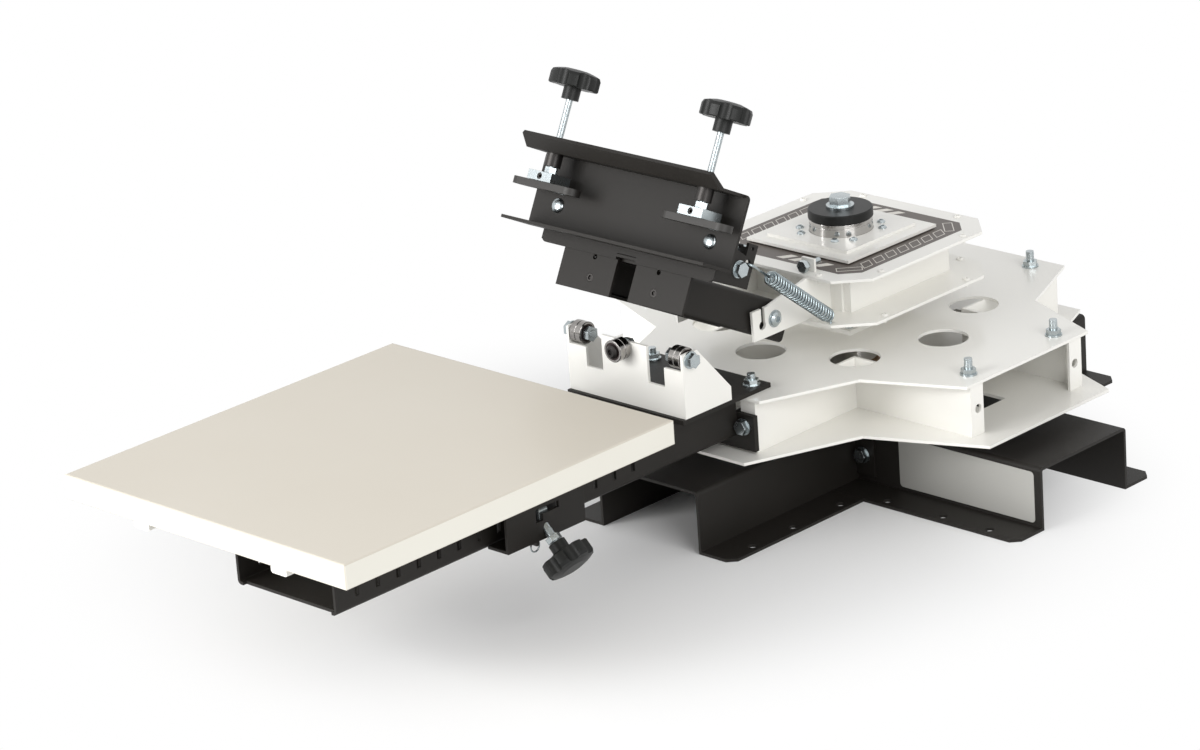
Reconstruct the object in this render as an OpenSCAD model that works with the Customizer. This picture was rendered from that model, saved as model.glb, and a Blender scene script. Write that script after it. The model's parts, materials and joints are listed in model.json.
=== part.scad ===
// Tabletop screen printing press: four station rotor, one pallet arm, one tilting print head.
// The origin is on the post axis, at the underside of the base flanges.
// Minus Y is the side of the pallet, plus Z is up.

/* [Base] */
// Sheet thickness of the base channels
base_t = 3; // [2:0.5:5]
// Outer width of the base channels
base_w = 131.8; // [110:0.1:160]
// Height of the base channels
base_h = 64.3; // [50:0.1:90]
// Reach of each leg from the post axis
base_reach = 296.8; // [280:0.1:360]
// Width of the floor flanges
floor_w = 40.1; // [34:0.1:50]
// Cut at the outer corners of the floor flanges
floor_cut = 8.5; // [4:0.5:12]
// Diameter of the floor holes
floor_hole_d = 9; // [6:0.5:11]
// Distance of the floor holes from the channel wall
floor_hole_out = 30.6; // [15:0.1:32]
// Distance of the inner floor hole from the post axis
floor_hole_near = 129; // [122:1:140]
// Distance of the middle floor hole from the post axis
floor_hole_mid = 199; // [160:1:220]
// Distance of the outer floor hole from the post axis
floor_hole_far = 257; // [235:1:280]
// Width of the end tabs of the front and rear legs
leg_tab_w = 23.7; // [20:0.1:30]
// Height of the end tabs
leg_tab_h = 42; // [30:1:50]
// Height of the tab bolts above the floor
leg_bolt_z = 31; // [25:1:40]
// Distance of the tab bolts from the channel wall
leg_bolt_out = 10.1; // [9.5:0.1:12]

/* [Post] */
// Diameter of the centre post
post_d = 63.5; // [50:0.1:70]
// Height of the post top above the floor
post_top = 246; // [240:0.5:255]
// Width of the square foot plate
foot_w = 120; // [100:1:130]
// Thickness of the foot plate
foot_t = 8; // [5:0.5:10]
// Distance of the foot bolts from the axis along X and Y
foot_bolt_at = 47; // [44:0.5:48]
// Diameter of the cap disc
cap_d = 65; // [56:0.5:72]
// Thickness of the cap disc
cap_t = 9; // [5:0.5:12]
// Diameter of the cap bolt
cap_bolt_d = 12; // [8:1:16]
// Thickness of the thrust washers
thrust_t = 3; // [2:0.5:4]
// Running clearance between bush and post, on the radius
bush_fit = 0.08; // [0.04:0.01:0.1]
// Wall of the plain bushes
bush_wall = 6; // [4:0.5:8]
// Width of the bush flanges
bush_flange = 10; // [6:0.5:12]

/* [Rotor] */
// Sheet thickness of the rotor plates and webs
rotor_t = 3; // [2:0.5:5]
// Underside of the bottom plate above the floor
rotor_z = 84.1; // [82:0.1:90]
// Overall height of the rotor
rotor_h = 58.2; // [50:0.1:60]
// Half width of a station on the top plate
top_half = 92.8; // [90:0.1:100]
// Reach of the top plate
top_reach = 232.6; // [231:0.1:240]
// Distance of the top notch corners from the axis along X and Y
top_notch = 133.9; // [126:0.1:145]
// Half width of a station on the bottom plate
low_half = 91.7; // [90:0.1:100]
// Reach of the bottom plate
low_reach = 257.3; // [245:0.1:280]
// Distance of the bottom notch corners from the axis along X and Y
low_notch = 138.8; // [126:0.1:150]
// Diameter of the holes in the top plate
top_hole_d = 50; // [30:1:54]
// Distance of the station holes from the axis
top_hole_at = 126.5; // [122:0.5:135]
// Distance of the diagonal holes from the axis along X and Y
top_hole_diag = 90.5; // [88:0.5:95]
// Width of the slot in each station of the bottom plate
low_slot_w = 33; // [20:1:50]
// Inner end of that slot from the axis
low_slot_in = 139; // [120:1:150]
// Length of that slot
low_slot_len = 50; // [30:1:60]
// Distance of the webs from the station centre line, to their outer face
web_at = 84.5; // [82:0.1:88]
// Distance of the web end flanges from the axis, to their outer face
web_reach = 230; // [225:0.5:231]
// Width of the web end flanges
web_flange = 18.5; // [17:0.5:24]
// Distance of the end flange holes from the station centre line
web_hole_at = 74; // [74:0.1:76]
// Height of the end flange holes above the floor
web_hole_z = 114; // [106:0.5:118]
// Distance of the station studs from the centre line
stud_at = 65; // [60:0.5:70]
// Distance of the station studs from the axis
stud_reach = 212; // [206:0.5:216]
// Rise of the station studs above the top plate
stud_rise = 16.5; // [14:0.5:20]
// Half width of the square bearing plate
seat_half = 46; // [45:0.5:55]
// Thickness of the square bearing plate
seat_t = 5; // [4:0.5:8]

/* [Pallet arm] */
// Outer width of the pallet arm
parm_w = 130.1; // [120:0.1:140]
// Sheet thickness of the pallet arm
parm_t = 3; // [2:0.5:4]
// Height of the arm walls
parm_h = 40.45; // [38:0.05:44]
// Distance of the arm front end from the post axis
parm_front = 762; // [755:1:790]
// Distance of the arm rear end from the post axis
parm_rear = 235.5; // [234:0.5:237]
// Pitch of the index slots
slot_pitch = 25.4; // [25:0.1:26]
// Number of index slots in each wall
slot_count = 15; // [13:1:15]
// Distance of the outermost slot from the post axis
slot_first = 735.8; // [730:0.1:740]
// Width of an index slot
slot_w = 5; // [4.6:0.1:6]
// Length of an index slot
slot_len = 20; // [18:0.5:22]
// Height of the slot bottoms above the arm floor
slot_up = 11.2; // [9:0.1:12]
// Width of the arm end plate
end_w = 174; // [168:1:180]
// Height of the arm end plate
end_h = 36; // [32:1:40]
// Lower edge of the arm end plate above the floor
end_z = 90; // [88:0.5:94]
// Width of the top end plate
tie_w = 152; // [150:0.5:160]
// Thickness of the top end plate
tie_t = 4.5; // [3:0.5:6]
// Rear edge of the top end plate from the post axis
tie_rear = 197; // [190:1:200]

/* [Gate] */
// Sheet thickness of the gate
gate_t = 3; // [2:0.5:4]
// Outer width of the gate
gate_w = 151.8; // [148:0.1:156]
// Distance of the gate front face from the post axis
gate_y = 316; // [314:0.5:320]
// Half width of the middle tongue
tongue_half = 29.5; // [26:0.5:32]
// Height of the tongue top above the floor
tongue_z = 211; // [208:0.5:212]
// Outer edge of the notches from the centre line
notch_out = 51; // [49:0.5:54]
// Height of the notch bottoms above the floor
notch_z = 174.5; // [165:0.5:176]
// Height of the ear tops above the floor
ear_z = 194; // [185:0.5:200]
// Outer diameter of the ball bearings
roll_d = 22; // [19:0.5:24]
// Width of the ball bearings
roll_w = 7; // [5:0.5:8]
// Bore of the ball bearings
roll_bore = 8; // [6:0.5:10]
// Height of the side bearings above the floor
roll_z = 204; // [202:0.5:204.5]
// Distance of the side bearings from the post axis
roll_y = 306; // [304:0.5:308]
// Height of the middle bearing above the floor
mid_roll_z = 204.5; // [200:0.5:206]

/* [Pallet] */
// Width of the pallet board
board_w = 367.8; // [300:0.1:410]
// Length of the pallet board
board_len = 409.3; // [380:0.1:460]
// Thickness of the pallet board
board_t = 24; // [18:0.5:30]
// Height of the printing surface above the floor
board_top = 211; // [209:0.5:214]
// Distance of the board rear edge from the post axis
board_rear = 442.9; // [441:0.1:470]
// Rounding of the board edges
board_round = 2.5; // [1:0.5:5]
// Width of a pallet rail
rail_w = 20; // [16:0.5:24]
// Height of a pallet rail
rail_h = 10; // [8:0.5:12]
// Distance of the rails from the centre line
rail_at = 90; // [88:0.5:94]
// Inset of the rail ends from the board ends
rail_inset = 7.5; // [4:0.5:15]

/* [Saddle] */
// Outer width of the saddle walls
saddle_w = 183.2; // [180:0.1:188]
// Sheet thickness of the saddle
saddle_t = 3; // [2:0.5:4]
// Length of the saddle along the arm
saddle_len = 100.8; // [96:0.1:110]
// Distance of the saddle rear end from the post axis
saddle_rear = 473; // [470:0.5:476]
// Distance of the lock knob axis from the post axis
lock_y = 523.4; // [521:0.1:525]
// Height where the lock stud leaves the wall
lock_z = 111; // [110:0.5:113]
// Downward angle of the lock stud
lock_angle = 45; // [40:1:50]
// Diameter of the lock stud
lock_d = 8; // [6:0.5:9]
// Visible length of the lock stud
lock_len = 16; // [15:0.5:26]
// Height of the latch pivot above the floor
latch_z = 138; // [136:0.5:140]
// Distance of the latch pivot from the arm wall
latch_out = 9; // [8:0.5:11]
// Thickness of the latch
latch_t = 3; // [2:0.1:3.4]
// Diameter of the pull ring
ring_d = 12.5; // [10:0.5:16]
// Wire of the pull ring
ring_wire = 1.6; // [1:0.1:2]

/* [Head] */
// Half width of the head top plate
head_half = 111.7; // [105:0.1:120]
// Cut corner of the head top plate
head_cut = 29; // [20:0.5:36]
// Half width of the head lower plate
deck_half = 113.1; // [106:0.1:122]
// Cut corner of the head lower plate
deck_cut = 31.6; // [22:0.1:32]
// Sheet thickness of the head
head_t = 3; // [2:0.5:4]
// Underside of the lower plate above the floor
deck_z = 177.4; // [176:0.1:180]
// Top of the head top plate above the floor
head_z = 225.5; // [222:0.1:228]
// Half width of the box between the plates
box_half = 74.4; // [68:0.1:80]
// Depth of the lip round the box top
box_lip_h = 12; // [8:0.5:16]
// Width of that lip
box_lip = 2; // [1:0.5:4]
// Half width of the bearing block
block_half = 66.5; // [62:0.5:70]
// Thickness of each layer of the bearing block
block_t = 3; // [2:0.5:4]
// Wall of the head hub tube
hub_wall = 5; // [3:0.5:8]
// Distance of the block screws from the axis, outward
block_screw_out = 35; // [34:0.5:37]
// Distance of the block screws from the axis, sideways
block_screw_side = 22; // [18:0.5:26]

/* [Yoke] */
// Distance of the yoke plates from the centre line, to their inner face
yoke_in = 48.5; // [48:0.1:52]
// Sheet thickness of the yoke plates
yoke_t = 3; // [2:0.5:4]
// Distance of the yoke nose from the post axis
yoke_nose = 190; // [186:0.5:196]
// Height of the yoke nose above the floor
yoke_nose_z = 211; // [209:0.5:214]
// Distance of the pivot from the post axis
pivot_y = 160; // [158:0.5:162]
// Height of the pivot above the floor
pivot_z = 196; // [195:0.5:197]
// Diameter of the tilt axle
axle_d = 12; // [10:0.5:14]
// Width of the keyhole slot
key_w = 5; // [4:0.5:7]
// Distance of the keyhole slot from the pivot
key_at = 16; // [14:0.5:18]

/* [Print arm] */
// Upward tilt of the print arm at rest
tilt = 27; // [25:0.5:28]
// Outer width of the print arm
arm_w = 92; // [86:0.5:94]
// Sheet thickness of the print arm
arm_t = 3; // [2:0.5:4]
// Height of the arm top above the pivot
arm_up = 17.5; // [16:0.1:18]
// Depth of the arm walls below the pivot
arm_down = 21; // [18:0.5:22]
// Length of the arm in front of the pivot
arm_len = 163; // [158:0.5:164]
// Length of the arm behind the pivot
arm_tail = 26; // [20:0.5:28]
// Width of the inward lips of the arm walls
arm_lip = 12; // [8:0.5:13]
// Half width of the crosshead
cross_half = 111.5; // [108:0.1:116]
// Sheet thickness of the crosshead and the hanging plates
cross_t = 3; // [2:0.5:4]
// Distance of the screen plate front face from the pivot
plate_y = 175; // [174:0.5:178]
// Depth of the crosshead front flange below the arm top
cross_drop = 2.5; // [1.5:0.5:4]
// Height of the crosshead front web above the arm top
cross_up = 42.5; // [36:0.5:46]
// Distance of the crosshead rear web from the pivot
cross_rear = 135; // [132:0.5:137]
// Rear edge of the crosshead ears from the pivot
ear_rear = 121.5; // [119:0.5:123]
// Height of the ear strap tops above the pivot
ear_top = 60; // [56:0.5:64]
// Distance of the spring bolts from the pivot
ear_bolt_y = 141.5; // [140:0.5:144]
// Height of the spring bolts above the pivot
ear_bolt_z = 33.9; // [32:0.1:36]
// Inner edge of the hanging plates from the centre line
hang_in = 12.2; // [11.8:0.1:14]
// Outer edge of the hanging plates from the centre line
hang_out = 82; // [78:0.5:88]
// Depth of the hanging plates below the pivot
hang_down = 21.5; // [18:0.5:22]
// Gap between the hanging plates and the arm front end
hang_gap = 2.5; // [2:0.5:4]
// Distance of the hanging plate screws from the centre line
hang_screw_at = 41.4; // [40:0.1:43]

/* [Screen plate] */
// Half width of the screen plate
plate_half = 130.7; // [125:0.1:140]
// Sheet thickness of the screen plate
plate_t = 3; // [2:0.5:4]
// Underside of the bottom lip above the pivot
lip_z = 27; // [26:0.5:28]
// Depth of the bottom lip
lip_len = 39; // [36:0.5:44]
// Top of the upper flange above the pivot
flange_z = 101; // [99:0.5:104]
// Depth of the upper flange
flange_len = 32; // [30:0.5:36]
// Half width of the upper flange
flange_half = 126; // [122:0.5:130]
// Reach of the visor in front of the upper flange
visor_len = 16.3; // [12:0.1:20]
// Rise of the visor above the upper flange
visor_up = 11.5; // [9:0.5:16]
// Distance of the carriage bolts from the centre line
coach_at = 98.5; // [94:0.5:102]
// Height of the carriage bolts above the pivot
coach_z = 51.3; // [48:0.1:54]

/* [Clamps] */
// Distance of the clamp studs from the centre line
clamp_at = 97.5; // [94:0.5:102]
// Distance of the clamp studs from the pivot
clamp_y = 198; // [196:0.5:200]
// Diameter of the clamp studs
clamp_d = 6.4; // [5:0.1:8]
// Underside of the clamp foot above the pivot
foot_bar_z = 62; // [60:0.5:64]
// Length of the clamp foot
foot_bar_len = 82; // [70:1:90]
// Width of the clamp foot
foot_bar_w = 20; // [16:0.5:24]
// Thickness of the clamp foot
foot_bar_t = 7; // [5:0.5:8]
// Width of the clamp block
clamp_block_w = 30; // [24:0.5:34]
// Depth of the clamp block
clamp_block_len = 28; // [22:0.5:30]
// Height of the clamp block
clamp_block_h = 9; // [8:0.5:10]
// Outer diameter of the clamp and lock knobs
knob_d = 49; // [40:0.5:56]
// Thickness of the lobed knob discs
knob_t = 17; // [12:0.5:20]
// Height of the knob hubs
knob_hub_h = 12; // [8:0.5:14]
// Diameter of the knob hubs
knob_hub_d = 17; // [14:0.5:20]
// Number of lobes on a knob
knob_lobes = 7; // [5:1:9]
// Height of the knob hub underside above the pivot
knob_z = 151; // [146:0.5:156]

/* [Springs] */
// Wire of the tension springs
spring_wire = 2.2; // [1.6:0.1:2.6]
// Mean coil radius of the tension springs
coil_r = 6.2; // [5:0.1:7]
// Number of coils in each spring
coil_count = 24; // [16:1:28]
// Radius of the spring hooks
hook_r = 5.5; // [4:0.1:7]
// Length of the upper spring shank
shank_len = 34; // [26:1:38]
// Length of the lower spring shank
tail_len = 2.5; // [1:0.5:6]
// Distance of the lower spring hole from the centre line
anchor_at = 75; // [70:0.5:80]
// Distance of the lower spring hole from the post axis
anchor_y = 106; // [102:0.5:107]
// Height of the ear spring hole above the pivot
hook_hole_z = 41; // [39:0.5:45]
// Distance of the ear spring hole from the pivot
hook_hole_y = 130; // [128:0.5:134]
// Diameter of the spring holes
hook_hole_d = 8; // [5:0.1:9]

/* [Hidden] */
$fn = 48;

// Colours of the finishes
black_coat = "#26262a";
white_coat = "#eeece6";
cream = "#dcd6c8";
zinc = "#b9bdb4";
steel = "#c9c9c9";
bronze = "#a9814c";
nylon = "#d8d4c4";
plastic = "#202224";

// Clearances and the overrun of every cut
over = 1;
seat = 0.3;
bolt_gap = 0.5;
thread_gap = 0.15;
weld_gap = 0.1;
edge_cut = 1;
bend = 1.5;

// Fasteners: shank, key width, head and nut heights, flange
m8_d = 8;
m8_key = 13;
m8_head = 5.5;
m8_nut = 6.5;
m8_flange_d = 17;
m8_flange_t = 1.6;
m6_d = 6;
m6_head_d = 11;
m6_head_h = 3.2;
m5_d = 5;
m5_head_d = 8.5;
m5_head_h = 2.4;
small_d = 4;
small_head_d = 7.5;
small_head_h = 1.8;
socket_share = 0.4;
socket_deep_share = 0.6;

// Base
base_half = base_w / 2;
floor_end = base_half + floor_w;
leg_bolt_x = base_half + leg_bolt_out;
leg_tab_z = leg_bolt_z - leg_tab_h / 2;
post_r = post_d / 2;
foot_top = base_h + foot_t;
thrust_in = post_r + seat;
bush_r = post_r + bush_fit;
bush_out = bush_r + bush_wall;
flange_out = bush_out + bush_flange;
cap_bolt_deep = 22;
cap_bolt_key = 19;
cap_bolt_head = 9;
cap_flange_d = 28;
cap_flange_t = 2.5;
post_edge = 1;
groove_deep = 0.6;
groove_h = 1.2;
groove_down = 4;

// Rotor
rotor_top = rotor_z + rotor_h;
rotor_low_top = rotor_z + rotor_t;
rotor_top_under = rotor_top - rotor_t;
lower_bush_z = foot_top + thrust_t + seat;
lower_bush_up = 10;
seat_top = rotor_top + seat_t;
upper_bush_down = 13;
upper_flange_h = 4;
seat_screw_in = 8;
seat_screw_at = seat_half - seat_screw_in;
web_low = rotor_low_top;
web_h = rotor_top_under - rotor_low_top;

// Pallet arm
parm_half = parm_w / 2;
parm_z = rotor_top - parm_h;
parm_len = parm_front - parm_rear;
slot_z = parm_z + slot_up;
nose_recess = 4;
nose_notch = 7;
end_half = end_w / 2;
end_t = parm_rear - web_reach;
tie_half = tie_w / 2;
tie_top = rotor_top + tie_t;
tie_lead = 4;
tie_front = gate_y + tie_lead;
tie_screw_at = 45;

// Gate
gate_half = gate_w / 2;
gate_tab = 50;
gate_screw_in = 34;
gate_screw_y = gate_y - gate_screw_in;
side_shoulder = 21;
side_lower = 13.5;
side_foot = 64;
roll_r = roll_d / 2;
pair_w = 2 * roll_w;
rim_cut = edge_cut / 2;
race_t = 1.8;
race_r = roll_bore / 2 + race_t;
cage_gap = 0.3;
mid_roll_front = 331.5;
side_roll_gap = 1.5;
side_roll_out = gate_half - gate_t - side_roll_gap;

// Pallet
board_half = board_w / 2;
board_z = board_top - board_t;
board_front = board_rear + board_len;
rail_z = board_z - rail_h;
rail_front = board_front - rail_inset;
rail_back = board_rear + rail_inset;
rail_cut = 1.5;
screw_rise = 12;
screw_end_in = 12;

// Saddle
saddle_half = saddle_w / 2;
saddle_front = saddle_rear + saddle_len;
saddle_lip_in = parm_half + seat;
saddle_inner = saddle_half - saddle_t;
wing = 9;
saddle_wing = saddle_half + wing;
glide_len = 30;
glide_lap = 15;
glide_rim = 11;
glide_in = parm_half - glide_lap;
glide_out = parm_half + glide_rim;
glide_hug = 12;
latch_slot = 8;
latch_y = slot_first - slot_pitch * latch_slot;
latch_x = parm_half + latch_out;
latch_r = 5;
latch_pin_d = 4.4;
latch_pin_head = 1.4;
latch_gap = 0.3;
hanger_t = 3;
hanger_w = 12;
tongue_gap = 0.5;
tongue_x = parm_half + tongue_gap;
tongue_h = 6;
tongue_low = slot_z + tongue_gap * 5;
lever_w = 8;
lever_x = latch_x + lever_w + 2 * over;
lever_low = parm_z - tongue_h;
ring_hole_r = 1.6;
lock_block_w = 11;
lock_block_in = 72;
lock_block_h = 19.5;
lock_bore_r = lock_d / 2 + seat;
lock_travel = 1;
block_high = lock_z + 6.4 * lock_bore_r;
pad_r = 6;
pad_t = 4;
pad_gap = 1;
lock_nut_at = m8_key / 2 / cos(30) + seat / cos(lock_angle) + lock_travel;
window_w = 30;
window_h = 13;
window_z = 120;
window_end = 506;
window_leg = 9;

// Head
head_under = head_z - head_t;
deck_top = deck_z + head_t;
hub_low = seat_top + thrust_t + seat;
hub_r = bush_out + hub_wall;
layer_step = 14.5;
block_seat = 44;
block_lift = 1.3;
block_h = 2 * block_t + block_lift;
block_top = head_z + block_h;
head_bush_len = 26;
edge_in = 7;
edge_along = 62;
stop_tab_w = 16;
stop_tab_h = 13;
stop_x = 44;
stop_y = 100;
stop_bolt_len = 16;

// Yoke
yoke_out = yoke_in + yoke_t;
yoke_low = deck_top;
yoke_kink = 9;
key_len = 17;
key_hook_r = 4.6;
yoke_foot = 14;
axle_fit = 0.08;
axle_washer_d = 17;
axle_washer_t = 1.2;
axle_head_d = 14;
axle_head_h = 3.4;

// Print arm, in the frame of the pivot with the arm level
arm_half = arm_w / 2;
arm_bush_t = 2;
arm_bush_d = axle_d + 2 * arm_bush_t;
arm_bush_flange = 22;
cross_z = arm_up;
web_y = plate_y - plate_t;
cross_low = cross_z - cross_drop;
cross_high = cross_z + cross_up;
cross_rear_up = 38.5;
cross_rear_high = cross_z + cross_rear_up;
cross_round = 6;
strap_w = 13.5;
strap_low = 12.4;
strap_slope = 8;
ear_inner = cross_half - cross_t;
hang_y = arm_len + hang_gap;
hang_flange_in = arm_half + over;
hang_flange_out = 55;
hang_flange_len = 26;
hang_screw_z = 7.6;
hang_screw_r = 4;
half_round_r = 2.5;
visor_trim = 9;
corner_r = 5;
coach_head_d = 15;
coach_head_h = 4;
coach_neck = 3;

// Clamps
collar_h = 13;
collar_d = 16;
collar_bore = clamp_d + 2 * seat;
clamp_block_z = foot_bar_z + foot_bar_t + weld_gap;
clamp_block_top = clamp_block_z + clamp_block_h;
stud_low = clamp_block_z + 2 * over;
stud_end = knob_z + knob_hub_h;
jam_nut_h = 6;
jam_nut_key = 11;
set_screw_d = 6;
set_screw_len = 9;
scallop_share = 0.3;
scallop_at_share = 1.13;
knob_crown = 3;

// Star shaped rotor plate: station half width, reach, notch corner
function turned(p, a) = [p[0] * cos(a) - p[1] * sin(a), p[0] * sin(a) + p[1] * cos(a)];
function star(half, reach, notch) = [
    for (a = [0, 90, 180, 270])
        for (p = [[-half, -reach], [half, -reach], [notch, -notch]]) turned(p, a)
];

// Points of a square with cut corners
function octagon(half, cut) = [
    for (a = [0, 90, 180, 270])
        for (p = [[cut - half, -half], [half - cut, -half]]) turned(p, a)
];

// Points of a rectangle with rounded corners
round_steps = 5;
function rounded(w, h, r) = [
    for (q = [0 : 3])
        for (i = [0 : round_steps])
            let (sx = q == 0 || q == 3 ? 1 : -1, sy = q < 2 ? 1 : -1, a = 90 * (q + i / round_steps))
                [sx * (w / 2 - r) + r * cos(a), sy * (h / 2 - r) + r * sin(a)]
];

// A point of the level print arm, moved to the resting tilt
function raised_point(p) = [
    p[0],
    -pivot_y + p[1] * cos(tilt) + p[2] * sin(tilt),
    pivot_z - p[1] * sin(tilt) + p[2] * cos(tilt)
];

module raised() {
    translate([0, -pivot_y, pivot_z]) rotate([-tilt, 0, 0]) children();
}

module both_sides() {
    for (m = [0, 1]) mirror([m, 0, 0]) children();
}

module four_ways() {
    for (mx = [0, 1], my = [0, 1]) mirror([mx, 0, 0]) mirror([0, my, 0]) children();
}

// Axis turned from Z to another direction
module along_x() {
    rotate([0, 90, 0]) children();
}

module forward() {
    rotate([90, 0, 0]) children();
}

// A ring round the Z axis
module ring(r_out, r_in, h) {
    difference() {
        cylinder(r = r_out, h = h);
        translate([0, 0, -over]) cylinder(r = r_in, h = h + 2 * over);
    }
}

module hex(key, h) {
    cylinder(d = key / cos(30), h = h, $fn = 6);
}

// Hex bolt, its flange on z = 0 and its shank below
module hex_bolt(d, key, head_h, length, flange_d, flange_t) {
    cylinder(d = flange_d, h = flange_t);
    translate([0, 0, flange_t]) hex(key, head_h);
    translate([0, 0, -length]) cylinder(d = d, h = length);
}

// Flange nut that sits on z = 0 and opens to both sides
module flange_nut(d, key, h, flange_d, flange_t) {
    difference() {
        union() {
            cylinder(d = flange_d, h = flange_t);
            hex(key, h);
        }
        translate([0, 0, -over]) cylinder(r = d / 2 + thread_gap, h = h + 2 * over);
    }
}

// Button head screw with a hex socket, head on z = 0
module button_screw(d, head_d, head_h, length) {
    difference() {
        rotate_extrude() polygon([
            [0, 0], [head_d / 2, 0], [head_d / 2, head_h * socket_share],
            [head_d / 2 - head_h * socket_deep_share, head_h], [0, head_h]
        ]);
        translate([0, 0, head_h * socket_share]) hex(head_d * socket_share, head_h);
    }
    translate([0, 0, -length]) cylinder(d = d, h = length);
}

// Sheet outline with two bent corners at the top, from z = low
module bent(half, low, high, r) {
    translate([-half, low]) square([2 * half, high - r - low]);
    translate([r - half, low]) square([2 * (half - r), high - low]);
    for (s = [-1, 1]) translate([s * (half - r), high - r]) circle(r = r);
}

// Cross section of an inverted channel, open below
module channel(half, h, t) {
    difference() {
        bent(half, 0, h, bend + t);
        bent(half - t, -over, h - t, bend);
    }
}

// Base

// Floor flange in plan, from start to end along X, with its outer corner cut
module floor_flange(start, end) {
    linear_extrude(base_t) polygon([
        [start, base_half - base_t], [end, base_half - base_t], [end, floor_end - floor_cut],
        [end - floor_cut, floor_end], [start, floor_end]
    ]);
}

module floor_holes() {
    for (x = [floor_hole_near, floor_hole_mid, floor_hole_far])
        translate([x, base_half + floor_hole_out, -over]) cylinder(d = floor_hole_d, h = base_t + 2 * over);
}

module tab_holes() {
    both_sides() translate([leg_bolt_x, over - base_half + base_t, leg_bolt_z])
        forward() cylinder(d = m8_d + bolt_gap, h = 2 * base_t + 2 * over);
}

module base_channel() color(black_coat) difference() {
    union() {
        rotate([90, 0, 90]) translate([0, 0, -base_reach])
            linear_extrude(2 * base_reach) channel(base_half, base_h, base_t);
        four_ways() floor_flange(base_half + seat, base_reach);
    }
    four_ways() floor_holes();
    tab_holes();
    rotate([0, 0, 180]) tab_holes();
    four_ways() translate([foot_bolt_at, foot_bolt_at, base_h - base_t - over])
        cylinder(d = m8_d + bolt_gap, h = base_t + 2 * over);
}

module leg() difference() {
    union() {
        translate([0, -base_half, 0]) forward()
            linear_extrude(base_reach - base_half) channel(base_half, base_h, base_t);
        both_sides() rotate([0, 0, -90]) floor_flange(floor_end + seat, base_reach);
        both_sides() translate([base_half - base_t, -base_half - base_t, leg_tab_z])
            cube([leg_tab_w + base_t, base_t, leg_tab_h]);
    }
    both_sides() rotate([0, 0, -90]) floor_holes();
    tab_holes();
}

module front_leg() color(black_coat) leg();

module rear_leg() color(black_coat) rotate([0, 0, 180]) leg();

module leg_bolt_pair() {
    both_sides() translate([leg_bolt_x, -base_half - base_t, leg_bolt_z]) forward()
        hex_bolt(m8_d, m8_key, m8_head, 2 * base_t + m8_nut, m8_flange_d, m8_flange_t);
    both_sides() translate([leg_bolt_x, base_t - base_half, leg_bolt_z]) rotate([-90, 0, 0])
        flange_nut(m8_d, m8_key, m8_nut, m8_flange_d, m8_flange_t);
}

module base_bolts() color(zinc) {
    leg_bolt_pair();
    rotate([0, 0, 180]) leg_bolt_pair();
    four_ways() translate([foot_bolt_at, foot_bolt_at, foot_top])
        hex_bolt(m8_d, m8_key, m8_head, foot_t + base_t + m8_nut, m8_flange_d, m8_flange_t);
    four_ways() translate([foot_bolt_at, foot_bolt_at, base_h - base_t]) mirror([0, 0, 1])
        flange_nut(m8_d, m8_key, m8_nut, m8_flange_d, m8_flange_t);
}

// Turned post with a fine groove under its chamfered top and a bore for the cap bolt
module centre_post() color(steel) rotate_extrude($fn = 96) polygon([
    [0, base_h], [post_r, base_h], [post_r, post_top - groove_down - groove_h],
    [post_r - groove_deep, post_top - groove_down - groove_h],
    [post_r - groove_deep, post_top - groove_down], [post_r, post_top - groove_down],
    [post_r, post_top - post_edge], [post_r - post_edge, post_top],
    [cap_bolt_d / 2 + thread_gap, post_top],
    [cap_bolt_d / 2 + thread_gap, post_top - cap_bolt_deep], [0, post_top - cap_bolt_deep]
]);

module post_foot() color(black_coat) difference() {
    translate([-foot_w / 2, -foot_w / 2, base_h]) cube([foot_w, foot_w, foot_t]);
    translate([0, 0, base_h - over]) cylinder(r = post_r + weld_gap, h = foot_t + 2 * over);
    four_ways() translate([foot_bolt_at, foot_bolt_at, base_h - over])
        cylinder(d = m8_d + bolt_gap, h = foot_t + 2 * over);
}

module thrust_washer() color(nylon) translate([0, 0, foot_top])
    ring(bush_out + bush_flange / 2, thrust_in, thrust_t);

module cap_disc() color(plastic) difference() {
    translate([0, 0, post_top]) rotate_extrude($fn = 96) polygon([
        [0, 0], [cap_d / 2, 0], [cap_d / 2, cap_t - edge_cut], [cap_d / 2 - edge_cut, cap_t], [0, cap_t]
    ]);
    translate([0, 0, post_top - over]) cylinder(d = cap_bolt_d + bolt_gap, h = cap_t + 2 * over);
}

module cap_bolt() color(zinc) translate([0, 0, post_top + cap_t])
    hex_bolt(cap_bolt_d, cap_bolt_key, cap_bolt_head, cap_t + cap_bolt_deep - 2 * over,
             cap_flange_d, cap_flange_t);

// Rotor

module rotor_bottom_plate() color(white_coat) translate([0, 0, rotor_z]) difference() {
    linear_extrude(rotor_t) polygon(star(low_half, low_reach, low_notch));
    translate([0, 0, -over]) cylinder(r = bush_out + weld_gap, h = rotor_t + 2 * over);
    for (a = [0, 90, 180, 270]) rotate([0, 0, a])
        translate([low_slot_in, -low_slot_w / 2, -over])
            cube([low_slot_len, low_slot_w, rotor_t + 2 * over]);
}

module stud_places() {
    for (a = [0, 90, 180, 270], s = [-1, 1]) rotate([0, 0, a]) translate([s * stud_at, -stud_reach, 0])
        children();
}

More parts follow.
